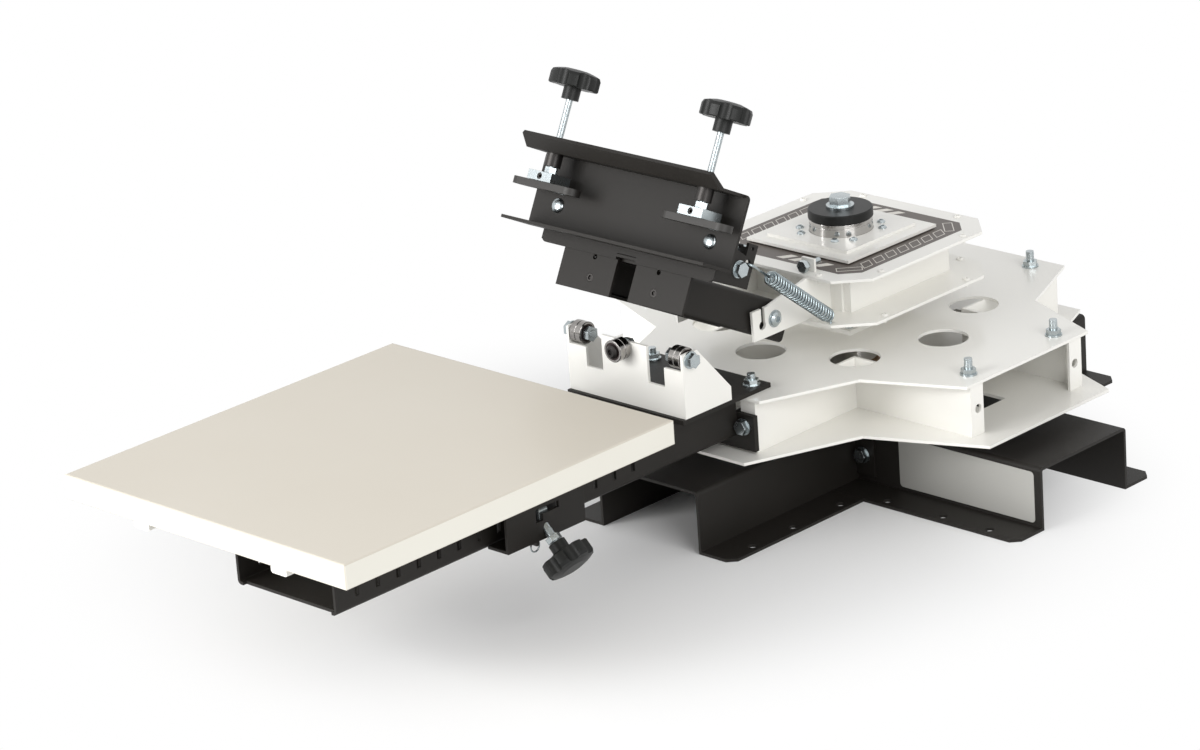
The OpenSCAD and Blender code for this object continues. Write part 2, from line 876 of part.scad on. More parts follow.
module rotor_top_plate() color(white_coat) translate([0, 0, rotor_top_under]) difference() {
    linear_extrude(rotor_t) polygon(star(top_half, top_reach, top_notch));
    translate([0, 0, -over]) cylinder(r = bush_out + weld_gap, h = rotor_t + 2 * over);
    for (a = [0, 90, 180, 270]) rotate([0, 0, a]) {
        translate([top_hole_at, 0, -over]) cylinder(d = top_hole_d, h = rotor_t + 2 * over);
        translate([top_hole_diag, top_hole_diag, -over]) cylinder(d = top_hole_d, h = rotor_t + 2 * over);
        translate([seat_screw_at, seat_screw_at, -over]) cylinder(d = m5_d + bolt_gap, h = rotor_t + 2 * over);
    }
    translate([0, 0, -over]) stud_places() cylinder(d = m8_d + bolt_gap, h = rotor_t + 2 * over);
}

module bush(low, flange_z, flange_h, high) {
    translate([0, 0, low]) ring(bush_out, bush_r, high - low);
    translate([0, 0, flange_z]) ring(flange_out, bush_r, flange_h);
}

module rotor_bushes() color(bronze) {
    bush(lower_bush_z, lower_bush_z, rotor_z - lower_bush_z, rotor_low_top + lower_bush_up);
    bush(seat_top - upper_bush_down - seat_t, rotor_top_under - upper_flange_h, upper_flange_h, seat_top);
}

// Bent plate of one notch: two walls and two end flanges
module web() difference() {
    translate([0, 0, web_low]) linear_extrude(web_h) polygon([
        [web_at, web_at], [web_reach, web_at], [web_reach, web_at - web_flange],
        [web_reach - rotor_t, web_at - web_flange], [web_reach - rotor_t, web_at - rotor_t],
        [web_at - rotor_t, web_at - rotor_t], [web_at - rotor_t, web_reach - rotor_t],
        [web_at - web_flange, web_reach - rotor_t], [web_at - web_flange, web_reach],
        [web_at, web_reach]
    ]);
    translate([web_reach - rotor_t - over, web_hole_at, web_hole_z]) along_x()
        cylinder(d = m8_d + 2 * bolt_gap, h = rotor_t + 2 * over);
    translate([web_hole_at, web_reach + over, web_hole_z]) forward()
        cylinder(d = m8_d + 2 * bolt_gap, h = rotor_t + 2 * over);
}

module rotor_webs() color(white_coat) {
    for (a = [0, 90, 180, 270]) rotate([0, 0, a]) web();
}

module rotor_bearing_plate() color(white_coat) difference() {
    translate([-seat_half, -seat_half, rotor_top]) cube([2 * seat_half, 2 * seat_half, seat_t]);
    translate([0, 0, rotor_top - over]) cylinder(r = bush_out + weld_gap, h = seat_t + 2 * over);
    four_ways() translate([seat_screw_at, seat_screw_at, rotor_top - over])
        cylinder(d = m5_d + bolt_gap, h = seat_t + 2 * over);
}

// Studs with their flange nuts; the front pair also holds the top end plate of the arm
module station_studs() color(zinc) {
    translate([0, 0, rotor_top_under]) stud_places() {
        translate([0, 0, -m8_head]) hex(m8_key, m8_head);
        cylinder(d = m8_d, h = rotor_t + stud_rise);
    }
    for (a = [90, 180, 270], s = [-1, 1]) rotate([0, 0, a]) translate([s * stud_at, -stud_reach, rotor_top])
        flange_nut(m8_d, m8_key, m8_nut, m8_flange_d, m8_flange_t);
    both_sides() translate([stud_at, -stud_reach, tie_top])
        flange_nut(m8_d, m8_key, m8_nut, m8_flange_d, m8_flange_t);
    four_ways() translate([seat_screw_at, seat_screw_at, seat_top])
        button_screw(m5_d, m5_head_d, m5_head_h, seat_t + rotor_t + m5_head_h);
}

module head_thrust_washer() color(nylon) translate([0, 0, seat_top])
    ring(bush_out + hub_wall, thrust_in, thrust_t);

// Pallet arm

module pallet_arm() color(black_coat) difference() {
    translate([0, -parm_rear, rotor_top]) mirror([0, 0, 1]) forward()
        linear_extrude(parm_len) channel(parm_half, parm_h, parm_t);
    for (i = [0 : slot_count - 1]) translate([-parm_half - over, slot_pitch * i - slot_first - slot_w / 2, slot_z])
        cube([parm_w + 2 * over, slot_w, slot_len]);
    translate([nose_notch - parm_half, -parm_front - over, parm_z - over])
        cube([parm_w - 2 * nose_notch, nose_recess + over, parm_t + 2 * over]);
}

module arm_end_plate() color(black_coat) difference() {
    translate([-end_half, -parm_rear, end_z]) cube([end_w, end_t, end_h]);
    both_sides() translate([web_hole_at, over - web_reach, web_hole_z]) forward()
        cylinder(d = m8_d + bolt_gap, h = end_t + 2 * over);
}

module arm_top_plate() color(black_coat) difference() {
    translate([-tie_half, -tie_front, rotor_top]) cube([tie_w, tie_front - tie_rear, tie_t]);
    both_sides() translate([stud_at, -stud_reach, rotor_top - over])
        cylinder(d = m8_d + bolt_gap, h = tie_t + 2 * over);
    both_sides() translate([tie_screw_at, -gate_screw_y, rotor_top - over])
        cylinder(d = m6_d + bolt_gap, h = tie_t + 2 * over);
}

module arm_bolts() color(zinc) {
    both_sides() translate([web_hole_at, -parm_rear, web_hole_z]) forward()
        hex_bolt(m8_d, m8_key, m8_head, end_t + rotor_t + m8_nut, m8_flange_d, m8_flange_t);
    both_sides() translate([web_hole_at, rotor_t - web_reach, web_hole_z]) rotate([-90, 0, 0])
        rotate(30) flange_nut(m8_d, m8_key, m8_nut, m8_key, m8_flange_t);
    both_sides() translate([tie_screw_at, -gate_screw_y, tie_top + gate_t])
        button_screw(m6_d, m6_head_d, m6_head_h, gate_t + tie_t + m6_d);
}

// Gate: front with two notches, side plates with sloped backs, and a floor flange
module gate() color(white_coat) difference() {
    union() {
        translate([0, gate_t - gate_y, 0]) forward() linear_extrude(gate_t) polygon([
            [-gate_half, tie_top], [gate_half, tie_top], [gate_half, ear_z], [notch_out, ear_z],
            [notch_out, notch_z], [tongue_half, notch_z], [tongue_half, tongue_z],
            [-tongue_half, tongue_z], [-tongue_half, notch_z], [-notch_out, notch_z],
            [-notch_out, ear_z], [-gate_half, ear_z]
        ]);
        both_sides() translate([gate_half - gate_t, 0, 0]) rotate([90, 0, 90])
            linear_extrude(gate_t) polygon([
                [-gate_y, tie_top], [side_foot - gate_y, tie_top],
                [side_foot - gate_y, tie_top + side_lower], [side_shoulder - gate_y, tongue_z - edge_cut],
                [side_shoulder - gate_y - edge_cut, tongue_z], [-gate_y, tongue_z]
            ]);
        translate([-gate_half, -gate_y, tie_top]) cube([gate_w, gate_tab, gate_t]);
    }
    translate([0, gate_t + over - gate_y, mid_roll_z]) forward()
        cylinder(d = roll_bore + bolt_gap, h = gate_t + 2 * over);
    both_sides() translate([gate_half - gate_t - over, -roll_y, roll_z]) along_x()
        cylinder(d = roll_bore + bolt_gap, h = gate_t + 2 * over);
    both_sides() translate([tie_screw_at, -gate_screw_y, tie_top - over])
        cylinder(d = m6_d + bolt_gap, h = gate_t + 2 * over);
}

// Inner races with their spacers, bolts and nuts
module roller_pins() color(zinc) {
    translate([0, gate_t - gate_y, mid_roll_z]) forward() {
        translate([0, 0, gate_t])
            ring(race_r, roll_bore / 2 + thread_gap, mid_roll_front - gate_y + cage_gap);
        translate([0, 0, gate_t])
            ring(race_r + over, roll_bore / 2 + thread_gap, mid_roll_front - gate_y - pair_w - cage_gap);
        translate([0, 0, gate_t + mid_roll_front - gate_y + cage_gap])
            button_screw(roll_bore, 2 * race_r + race_t, m6_head_h,
                         mid_roll_front - gate_y + gate_t + cage_gap + m8_nut);
        mirror([0, 0, 1]) flange_nut(roll_bore, m8_key, m8_nut, m8_flange_d, m8_flange_t);
    }
    both_sides() translate([gate_half, -roll_y, roll_z]) along_x() {
        hex_bolt(roll_bore, m8_key, m8_head, gate_half - side_roll_out + pair_w + 2 * cage_gap + m8_nut,
                 m8_flange_d, m8_flange_t);
        translate([0, 0, side_roll_out - gate_half - pair_w - cage_gap])
            ring(race_r, roll_bore / 2 + thread_gap, pair_w + cage_gap + gate_half - gate_t - side_roll_out);
        translate([0, 0, side_roll_out - gate_half - pair_w - cage_gap]) mirror([0, 0, 1])
            flange_nut(roll_bore, m8_key, m8_nut, m8_key, m8_flange_t);
    }
}

// Outer rings of a pair of ball bearings along Z
module roller() {
    rotate_extrude() polygon([
        [race_r + cage_gap, 0], [roll_r - rim_cut, 0], [roll_r, rim_cut], [roll_r, roll_w - rim_cut],
        [roll_r - rim_cut, roll_w], [roll_r, roll_w + rim_cut], [roll_r, pair_w - rim_cut],
        [roll_r - rim_cut, pair_w], [race_r + cage_gap, pair_w]
    ]);
}

module roller_centre() color(steel)
    translate([0, pair_w - mid_roll_front, mid_roll_z]) forward() roller();

module roller_right() color(steel)
    translate([side_roll_out - pair_w, -roll_y, roll_z]) along_x() roller();

module roller_left() color(steel)
    mirror([1, 0, 0]) translate([side_roll_out - pair_w, -roll_y, roll_z]) along_x() roller();

// Pallet

module pallet_board() color(cream) difference() {
    translate([0, -board_front + board_len / 2, board_z]) intersection() {
        linear_extrude(board_t) polygon(rounded(board_w, board_len, board_round));
        translate([0, board_len / 2, board_t / 2]) forward()
            linear_extrude(board_len) polygon(rounded(board_w, board_t, board_round));
        translate([-board_half, 0, board_t / 2]) rotate([90, 0, 90])
            linear_extrude(board_w) polygon(rounded(board_len, board_t, board_round));
    }
    pallet_screw_places() translate([0, 0, -over]) cylinder(r = small_d / 2 + weld_gap, h = screw_rise + over);
}

rail_len = rail_front - rail_back;
screw_ys = [rail_back + screw_end_in, rail_front - screw_end_in];

module pallet_screw_places() {
    both_sides() for (y = screw_ys) translate([rail_at, -y, board_z]) children();
}

module pallet_rails() color(white_coat) both_sides() difference() {
    translate([rail_at, -rail_back, rail_z]) forward() linear_extrude(rail_len) polygon([
        [rail_cut - rail_w / 2, 0], [rail_w / 2 - rail_cut, 0], [rail_w / 2, rail_cut],
        [rail_w / 2, rail_h], [-rail_w / 2, rail_h], [-rail_w / 2, rail_cut]
    ]);
    for (y = screw_ys) translate([rail_at, -y, rail_z - over])
        cylinder(r = small_d / 2 + weld_gap, h = rail_h + 2 * over);
}

module pallet_screws() color(zinc) pallet_screw_places() translate([0, 0, -rail_h]) mirror([0, 0, 1])
    button_screw(small_d, small_head_d, small_head_h, rail_h + screw_rise - over);

// Saddle

module lock_frame() {
    translate([saddle_half, -lock_y, lock_z]) rotate([0, 90 + lock_angle, 0]) children();
}

module saddle() color(black_coat) difference() {
    union() {
        both_sides() {
            translate([saddle_inner, -saddle_front, parm_z]) cube([saddle_t, saddle_len, rail_z - parm_z]);
            translate([saddle_lip_in, -saddle_front, parm_z])
                cube([saddle_half - saddle_lip_in, saddle_len, saddle_t]);
        }
        translate([-saddle_wing, -saddle_front, rail_z - saddle_t])
            cube([2 * saddle_wing, saddle_len, saddle_t]);
        translate([latch_x - hanger_w / 2, -latch_y - latch_t / 2 - latch_gap - hanger_t, latch_z - hanger_w / 2])
            cube([hanger_w, hanger_t, rail_z - saddle_t - latch_z + hanger_w / 2]);
        translate([latch_x, latch_t / 2 + latch_gap + latch_pin_head - latch_y, latch_z]) forward()
            cylinder(d = latch_pin_d, h = latch_t + 2 * latch_gap + latch_pin_head + hanger_t / 2);
        translate([latch_x, latch_t / 2 + latch_gap + latch_pin_head - latch_y, latch_z]) forward()
            cylinder(r = latch_r - edge_cut, h = latch_pin_head);
    }
    translate([saddle_inner - over, -window_end - window_w, window_z + window_h / 2])
        cube([saddle_t + 2 * over, window_w, window_h / 2]);
    translate([saddle_inner - over, -window_end - window_w, window_z])
        cube([saddle_t + 2 * over, window_leg, window_h]);
    translate([parm_half, -latch_y - latch_t / 2 - 2 * latch_gap, parm_z - over])
        cube([saddle_inner - parm_half, latch_t + 4 * latch_gap, saddle_t + 2 * over]);
    lock_frame() translate([0, 0, -lock_len]) cylinder(r = lock_bore_r, h = 2 * lock_len);
}

module saddle_glides() color(nylon) both_sides()
    for (y = [saddle_front - glide_len, saddle_rear]) translate([0, -y, 0]) forward()
        linear_extrude(glide_len) polygon([
            [glide_in, rotor_top + seat], [saddle_lip_in, rotor_top + seat],
            [saddle_lip_in, rotor_top - glide_hug], [glide_out, rotor_top - glide_hug],
            [glide_out, rail_z - saddle_t], [glide_in, rail_z - saddle_t]
        ]);

// Threaded block welded behind the wall
module lock_block() color(zinc) difference() {
    translate([0, lock_block_w / 2 - lock_y, 0]) forward() linear_extrude(lock_block_w) polygon([
        [saddle_inner, lock_z - lock_bore_r], [saddle_inner, lock_z + 4 * lock_bore_r],
        [lock_block_in + 2 * lock_bore_r, block_high], [lock_block_in, block_high],
        [lock_block_in, block_high - lock_block_h], [saddle_inner - lock_bore_r, lock_z - lock_bore_r]
    ]);
    lock_frame() translate([0, 0, -3 * lock_len]) cylinder(r = lock_bore_r, h = 4 * lock_len);
}

pad_back = parm_half + pad_gap + pad_t;
stud_in = (saddle_half - pad_back) / cos(lock_angle) - lock_d / 2 - seat / cos(lock_angle);

module lock_pad() color(nylon) lock_frame()
    translate([0, 0, -(saddle_half - pad_back) / cos(lock_angle)]) rotate([0, -90 - lock_angle, 0])
        along_x() translate([0, 0, -pad_t]) rotate_extrude() polygon([
            [0, 0], [pad_r - edge_cut, 0], [pad_r, edge_cut], [pad_r, pad_t], [0, pad_t]
        ]);

module lock_stud() color(zinc) lock_frame() {
    translate([0, 0, -stud_in]) cylinder(d = lock_d, h = stud_in + lock_len + knob_hub_h);
    translate([0, 0, lock_nut_at]) difference() {
        hex(m8_key, m8_head);
        translate([0, 0, -over]) cylinder(d = lock_d - edge_cut, h = m8_head + 2 * over);
    }
}

// Star knob, underside of its hub on z = 0, bored for its stud
module star_knob(stud_d) difference() {
    union() {
        cylinder(d = knob_hub_d, h = knob_hub_h + over);
        translate([0, 0, knob_hub_h]) intersection() {
            rotate_extrude() polygon([
                [0, 0], [knob_d / 2 - edge_cut, 0], [knob_d / 2, edge_cut],
                [knob_d / 2, knob_t - 2 * knob_crown],
                [knob_d / 2 - knob_crown / 2, knob_t - knob_crown],
                [knob_d / 2 - 2 * knob_crown, knob_t - knob_crown / 2],
                [knob_d / 4, knob_t], [0, knob_t]
            ]);
            linear_extrude(knob_t) difference() {
                circle(d = knob_d);
                for (i = [0 : knob_lobes - 1]) rotate(360 * i / knob_lobes)
                    translate([knob_d / 2 * scallop_at_share, 0]) circle(d = knob_d * scallop_share);
            }
        }
    }
    translate([0, 0, -over]) cylinder(r = stud_d / 2 + thread_gap, h = knob_hub_h + over + thread_gap);
}

module lock_knob() color(plastic) lock_frame() translate([0, 0, lock_len]) star_knob(lock_d);

// Latch lever on its pin, with the pull ring through its tail
module index_latch() color(zinc) {
    translate([0, latch_t / 2 - latch_y, 0]) forward() linear_extrude(latch_t) difference() {
        union() {
            translate([latch_x, latch_z]) circle(r = latch_r);
            polygon([
                [latch_x - latch_r, latch_z], [latch_x + latch_r, latch_z],
                [lever_x + lever_w / 2, lever_low + lever_w], [lever_x + lever_w / 2, lever_low],
                [lever_x - lever_w / 2, lever_low], [lever_x - lever_w, tongue_low - tongue_h],
                [tongue_x, tongue_low], [tongue_x, tongue_low + tongue_h]
            ]);
        }
        translate([latch_x, latch_z]) circle(r = latch_pin_d / 2 + latch_gap);
        translate([lever_x, lever_low + lever_w / 2]) circle(r = ring_hole_r);
    }
    translate([lever_x, -latch_y, lever_low + lever_w / 2 - ring_d / 2 + ring_hole_r - seat]) along_x()
        rotate_extrude() translate([ring_d / 2 - ring_wire / 2, 0]) circle(d = ring_wire, $fn = 24);
}

// Head

module hook_holes() {
    both_sides() translate([anchor_at, -anchor_y, deck_z - over])
        cylinder(d = hook_hole_d, h = head_t + 2 * over);
}

// Small screws along the plate edges, two to a side
module edge_places(half) {
    for (a = [0, 90, 180, 270], s = [-1, 1]) rotate([0, 0, a]) translate([half - edge_in, s * edge_along, 0])
        children();
}

module head_lower_plate() color(white_coat) difference() {
    translate([0, 0, deck_z]) linear_extrude(head_t) polygon(octagon(deck_half, deck_cut));
    translate([0, 0, deck_z - over]) cylinder(r = hub_r + weld_gap, h = head_t + 2 * over);
    hook_holes();
    translate([0, 0, deck_z - over]) edge_places(deck_half) cylinder(r = small_d / 2 + weld_gap, h = head_t + 2 * over);
}

module head_top_plate() color(white_coat) difference() {
    translate([0, 0, head_under]) linear_extrude(head_t) polygon(octagon(head_half, head_cut));
    translate([0, 0, head_under - over]) cylinder(r = bush_out + weld_gap, h = head_t + 2 * over);
    translate([0, 0, head_under - over]) edge_places(head_half) cylinder(r = small_d / 2 + weld_gap, h = head_t + 2 * over);
    block_places() translate([0, 0, -2 * over - head_t]) cylinder(r = m5_d / 2 + weld_gap, h = head_t + 4 * over);
}

module head_box() color(white_coat) translate([0, 0, deck_top]) difference() {
    union() {
        linear_extrude(head_under - deck_top) square(2 * box_half, center = true);
        translate([0, 0, head_under - deck_top - box_lip_h])
            linear_extrude(box_lip_h) square(2 * (box_half + box_lip), center = true);
    }
    translate([0, 0, -over]) linear_extrude(head_under - deck_top + 2 * over)
        square(2 * (box_half - head_t), center = true);
}

module head_hub() color(white_coat) translate([0, 0, hub_low]) ring(hub_r, bush_out + weld_gap, head_under - hub_low);

module head_bushes() color(bronze) {
    translate([0, 0, hub_low]) ring(bush_out, bush_r, head_bush_len);
    translate([0, 0, head_z - head_bush_len]) ring(bush_out, bush_r, head_bush_len);
}

module block_places() {
    for (a = [0, 90, 180, 270], s = [-1, 1]) rotate([0, 0, a])
        translate([block_screw_out, s * block_screw_side, head_z]) children();
}

module bearing_block() color(white_coat) difference() {
    union() {
        translate([0, 0, head_z]) linear_extrude(block_lift) square(2 * block_seat, center = true);
        translate([0, 0, head_z + block_lift]) linear_extrude(block_t) square(2 * block_half, center = true);
        translate([0, 0, head_z + block_h - block_t]) linear_extrude(block_t)
            square(2 * (block_half - layer_step), center = true);
    }
    translate([0, 0, head_z - over]) cylinder(r = post_r + seat, h = block_h + 2 * over);
    block_places() translate([0, 0, -over]) cylinder(r = m5_d / 2 + weld_gap, h = block_h + 2 * over);
}

module head_screws() color(zinc) {
    translate([0, 0, deck_top]) edge_places(deck_half)
        button_screw(small_d, small_head_d, small_head_h, head_t + small_d);
    translate([0, 0, head_z]) edge_places(head_half)
        button_screw(small_d, small_head_d, small_head_h, head_t + small_d);
    block_places() translate([0, 0, block_h])
        button_screw(m5_d, m5_head_d, m5_head_h, block_h + head_t - weld_gap);
}

// Side plate of the yoke in side view, with its keyhole slot
module yoke_outline() difference() {
    polygon([
        [-yoke_nose, yoke_low], [-box_half, yoke_low], [-box_half, head_under - box_lip_h],
        [-box_half - box_lip, head_under - box_lip_h], [-box_half - box_lip, head_under],
        [-head_half, head_under], [-pivot_y - yoke_kink, yoke_nose_z],
        [-yoke_nose - edge_cut, yoke_nose_z]
    ]);
    translate([-pivot_y, pivot_z]) circle(r = axle_d / 2 + axle_fit);
    translate([-pivot_y - key_at - key_w / 2, yoke_nose_z - key_len]) square([key_w, key_len + over]);
    translate([-pivot_y - key_at - key_w / 4, yoke_nose_z - key_len]) circle(r = key_hook_r);
}

module yoke_plates() color(white_coat) both_sides() {
    translate([yoke_in, 0, 0]) rotate([90, 0, 90]) linear_extrude(yoke_t) yoke_outline();
    translate([yoke_in, -box_half - yoke_t, yoke_low])
        cube([yoke_t + yoke_foot, yoke_t, head_under - box_lip_h - yoke_low]);
}

// Axle between the yoke plates with a screw and washer at each end
module tilt_axle() color(zinc) translate([0, -pivot_y, pivot_z]) {
    difference() {
        translate([-yoke_out, 0, 0]) along_x() cylinder(d = axle_d, h = 2 * yoke_out);
        both_sides() translate([yoke_out - axle_d, 0, 0]) along_x()
            cylinder(r = m6_d / 2 + thread_gap, h = axle_d + over);
    }
    both_sides() translate([yoke_out, 0, 0]) along_x() {
        ring(axle_washer_d / 2, m6_d / 2 + thread_gap, axle_washer_t);
        translate([0, 0, axle_washer_t])
            button_screw(m6_d, axle_head_d, axle_head_h, axle_d);
    }
}

// Stop bolt through a small tab on the head
module stop_bolt() {
    color(white_coat) difference() {
        translate([stop_x - stop_tab_w / 2, -stop_y, head_z]) cube([stop_tab_w, head_t, stop_tab_h]);
        translate([stop_x, head_t + over - stop_y, head_z + stop_tab_h / 2]) forward()
            cylinder(r = m6_d / 2 + thread_gap, h = head_t + 2 * over);
    }
    color(zinc) translate([stop_x, -stop_y, head_z + stop_tab_h / 2]) forward() {
        translate([0, 0, stop_bolt_len / 4]) hex(m6_head_d, m8_head);
        translate([0, 0, -stop_bolt_len]) cylinder(d = m6_d, h = stop_bolt_len * 5 / 4);
    }
}

// Print arm, drawn level in the frame of the pivot and then raised

module print_arm() color(black_coat) raised() difference() {
    translate([0, arm_tail, 0]) forward() linear_extrude(arm_tail + arm_len) difference() {
        tube_outline(arm_half, -arm_down, arm_up, bend + arm_t);
        tube_outline(arm_half - arm_t, arm_t - arm_down, arm_up - arm_t, bend);
        translate([arm_lip - arm_half, -arm_down - over]) square([arm_w - 2 * arm_lip, arm_t + 2 * over]);
    }
    translate([-arm_half - over, 0, 0]) along_x() cylinder(d = arm_bush_d + 2 * weld_gap, h = arm_w + 2 * over);
}

// Rectangle with four bent corners
module tube_outline(half, low, high, r) intersection() {
    bent(half, low, high, r);
    mirror([0, 1]) bent(half, -high, -low, r);
}

module arm_bushes() color(nylon) raised() both_sides() {
    translate([arm_half - arm_t, 0, 0]) along_x()
        ring(arm_bush_d / 2, axle_d / 2 + axle_fit, arm_t);
    translate([arm_half, 0, 0]) along_x()
        ring(arm_bush_flange / 2, axle_d / 2 + axle_fit, yoke_in - arm_half - seat);
}

// Ear of the crosshead in side view: sloped top and the strap at the rear
module ear_outline() difference() {
    polygon([
        [cross_t - web_y, cross_z], [-ear_rear, cross_z], [-ear_rear, ear_top],
        [-ear_rear - strap_w, ear_top], [-ear_rear - strap_w, ear_top - strap_low],
        [cross_t - web_y, ear_top - strap_low + strap_slope]
    ]);
    translate([-ear_bolt_y, ear_bolt_z]) circle(d = m8_d + bolt_gap);
    translate([-hook_hole_y, hook_hole_z]) circle(d = hook_hole_d);
    translate([-ear_rear - strap_w / 2, ear_top - strap_w / 3]) circle(d = small_d);
}

// Front web with its rounded ends and the gap over the middle roller
module web_outline() difference() {
    union() {
        translate([-cross_half, cross_low + cross_round])
            square([2 * cross_half, cross_high - cross_low - cross_round]);
        translate([cross_round - cross_half, cross_low]) square([2 * (cross_half - cross_round), cross_round]);
        for (s = [-1, 1]) translate([s * (cross_half - cross_round), cross_low + cross_round])
            circle(r = cross_round);
    }
    translate([-hang_in, cross_low - over]) square([2 * hang_in, cross_round + over]);
}

module coach_holes(y, depth) {
    both_sides() translate([coach_at, over - y, coach_z]) forward()
        cylinder(d = m8_d + bolt_gap, h = depth + 2 * over);
}

module crosshead() color(black_coat) raised() difference() {
    union() {
        translate([0, cross_t - web_y, 0]) forward() linear_extrude(cross_t) web_outline();
        translate([-cross_half, -web_y, cross_z]) cube([2 * cross_half, web_y - cross_rear + cross_t, cross_t]);
        translate([-ear_inner, -cross_rear, cross_z])
            cube([2 * ear_inner, cross_t, cross_rear_high - cross_z]);
        both_sides() translate([ear_inner, 0, 0]) rotate([90, 0, 90])
            linear_extrude(cross_t) ear_outline();
    }
    coach_holes(cross_rear - cross_t, web_y - cross_rear + 2 * cross_t);
}

module hanging_plates() color(black_coat) raised() both_sides() difference() {
    union() {
        translate([hang_in, -hang_y - cross_t, -hang_down])
            cube([hang_out - hang_in, cross_t, hang_down + cross_z]);
        translate([hang_flange_in, -hang_y - cross_t, cross_z - cross_t])
            cube([hang_flange_out - hang_flange_in, hang_flange_len, cross_t]);
    }
    translate([hang_screw_at, over - hang_y, -hang_screw_z]) forward()
        cylinder(r = hang_screw_r + thread_gap, h = cross_t + 2 * over);
    translate([hang_screw_at, over - hang_y, cross_low - half_round_r]) forward()
        cylinder(r = half_round_r, h = cross_t + 2 * over);
}

// Screen plate: back, bottom lip, top flange and sloped visor
module screen_plate() color(black_coat) raised() difference() {
    union() {
        translate([0, plate_t - plate_y, 0]) forward() linear_extrude(plate_t)
            translate([0, (flange_z + lip_z) / 2])
                polygon(rounded(2 * plate_half, flange_z - lip_z, corner_r));
        translate([-plate_half, -plate_y - lip_len, lip_z]) cube([2 * plate_half, lip_len + plate_t, plate_t]);
        translate([-flange_half, -plate_y - flange_len, flange_z - plate_t])
            cube([2 * flange_half, flange_len + plate_t, plate_t]);
        intersection() {
            translate([-flange_half, -plate_y - flange_len, 0]) rotate([90, 0, 90])
                linear_extrude(2 * flange_half) polygon([
                    [0, flange_z - plate_t], [0, flange_z], [plate_t / 2 - visor_len, flange_z + visor_up],
                    [-plate_t / 2 - visor_len, flange_z + visor_up - plate_t], [-plate_t, flange_z - plate_t]
                ]);
            translate([0, 0, flange_z]) linear_extrude(4 * visor_up, center = true) polygon([
                [-flange_half, -plate_y - flange_len], [flange_half, -plate_y - flange_len],
                [flange_half - visor_trim, -plate_y - flange_len - 2 * visor_len],
                [visor_trim - flange_half, -plate_y - flange_len - 2 * visor_len]
            ]);
        }
    }
    coach_holes(web_y, plate_t);
    both_sides() translate([clamp_at, -clamp_y, flange_z - plate_t - over])
        cylinder(r = collar_bore / 2, h = plate_t + 2 * over);
}

// Carriage bolts, spring bolts and the set screws of the hanging plates
module print_head_bolts() color(zinc) raised() both_sides() {
    translate([coach_at, -plate_y, coach_z]) forward() {
        rotate_extrude() polygon([
            for (a = [0 : 15 : 90]) [coach_head_d / 2 * cos(a), coach_head_h * sin(a)],
            [0, 0]
        ]);
        translate([0, 0, cross_rear - cross_t - plate_y - m8_nut])
            cylinder(d = m8_d, h = plate_y - cross_rear + cross_t + m8_nut);
    }
    translate([coach_at, cross_t - cross_rear, coach_z]) rotate([-90, 0, 0])
        flange_nut(m8_d, m8_key, m8_nut, m8_key, m8_flange_t);
    translate([cross_half, -ear_bolt_y, ear_bolt_z]) along_x()
        hex_bolt(m8_d, m8_key, m8_head, cross_t + m8_nut, m8_flange_d, m8_flange_t);
    translate([ear_inner, -ear_bolt_y, ear_bolt_z]) rotate([0, -90, 0])
        flange_nut(m8_d, jam_nut_key, m8_nut, jam_nut_key, m8_flange_t);
    translate([hang_screw_at, -hang_y, -hang_screw_z]) forward() difference() {
        cylinder(r = hang_screw_r, h = cross_t);
        translate([0, 0, cross_t / 2]) hex(hang_screw_r, cross_t);
    }
}

module clamp_collars() color(plastic) raised() both_sides()
    translate([clamp_at, -clamp_y, flange_z - plate_t - collar_h])
        ring(collar_d / 2, collar_bore / 2, collar_h);

// Screen clamp: foot bar under a block, with the screw that keeps the stud
module clamp_shoe() raised() translate([clamp_at, -clamp_y, 0]) {
    color(black_coat) translate([0, 0, foot_bar_z]) linear_extrude(foot_bar_t) {
        square([foot_bar_len - foot_bar_w, foot_bar_w], center = true);
        for (s = [-1, 1]) translate([s * (foot_bar_len - foot_bar_w) / 2, 0]) circle(d = foot_bar_w);
    }
    color(zinc) difference() {
        translate([-clamp_block_w / 2, -clamp_block_len / 2, clamp_block_z])
            cube([clamp_block_w, clamp_block_len, clamp_block_h]);
        translate([0, 0, clamp_block_z + over]) cylinder(r = clamp_d / 2 + seat, h = clamp_block_h);
        translate([0, -clamp_d, clamp_block_z + clamp_block_h / 2]) forward()
            cylinder(r = set_screw_d / 2 + thread_gap, h = clamp_block_len);
    }
    color(zinc) translate([0, -clamp_block_len / 2 + set_screw_len, clamp_block_z + clamp_block_h / 2])
        forward() difference() {
            cylinder(d = set_screw_d, h = set_screw_len - edge_cut);
            translate([0, 0, set_screw_len / 2]) hex(set_screw_d / 2, set_screw_len);
        }
}

module clamp_shoe_right() clamp_shoe();

module clamp_shoe_left() mirror([1, 0, 0]) clamp_shoe();

module clamp_stud() color(zinc) raised() translate([clamp_at, -clamp_y, 0]) {
    translate([0, 0, stud_low]) cylinder(d = clamp_d, h = stud_end - stud_low);
    translate([0, 0, clamp_block_top + seat]) difference() {
        hex(jam_nut_key, jam_nut_h);
        translate([0, 0, -over]) cylinder(d = clamp_d - edge_cut, h = jam_nut_h + 2 * over);
    }
}

module clamp_stud_right() clamp_stud();

module clamp_stud_left() mirror([1, 0, 0]) clamp_stud();

module clamp_knob() color(plastic) raised() translate([clamp_at, -clamp_y, knob_z]) star_knob(clamp_d);

module clamp_knob_right() clamp_knob();

module clamp_knob_left() mirror([1, 0, 0]) clamp_knob();

// Tension spring from the lower plate to the ear: one swept wire.
// Hooks are arcs through the holes, and the coils a helix between them.

function unit(v) = v / norm(v);

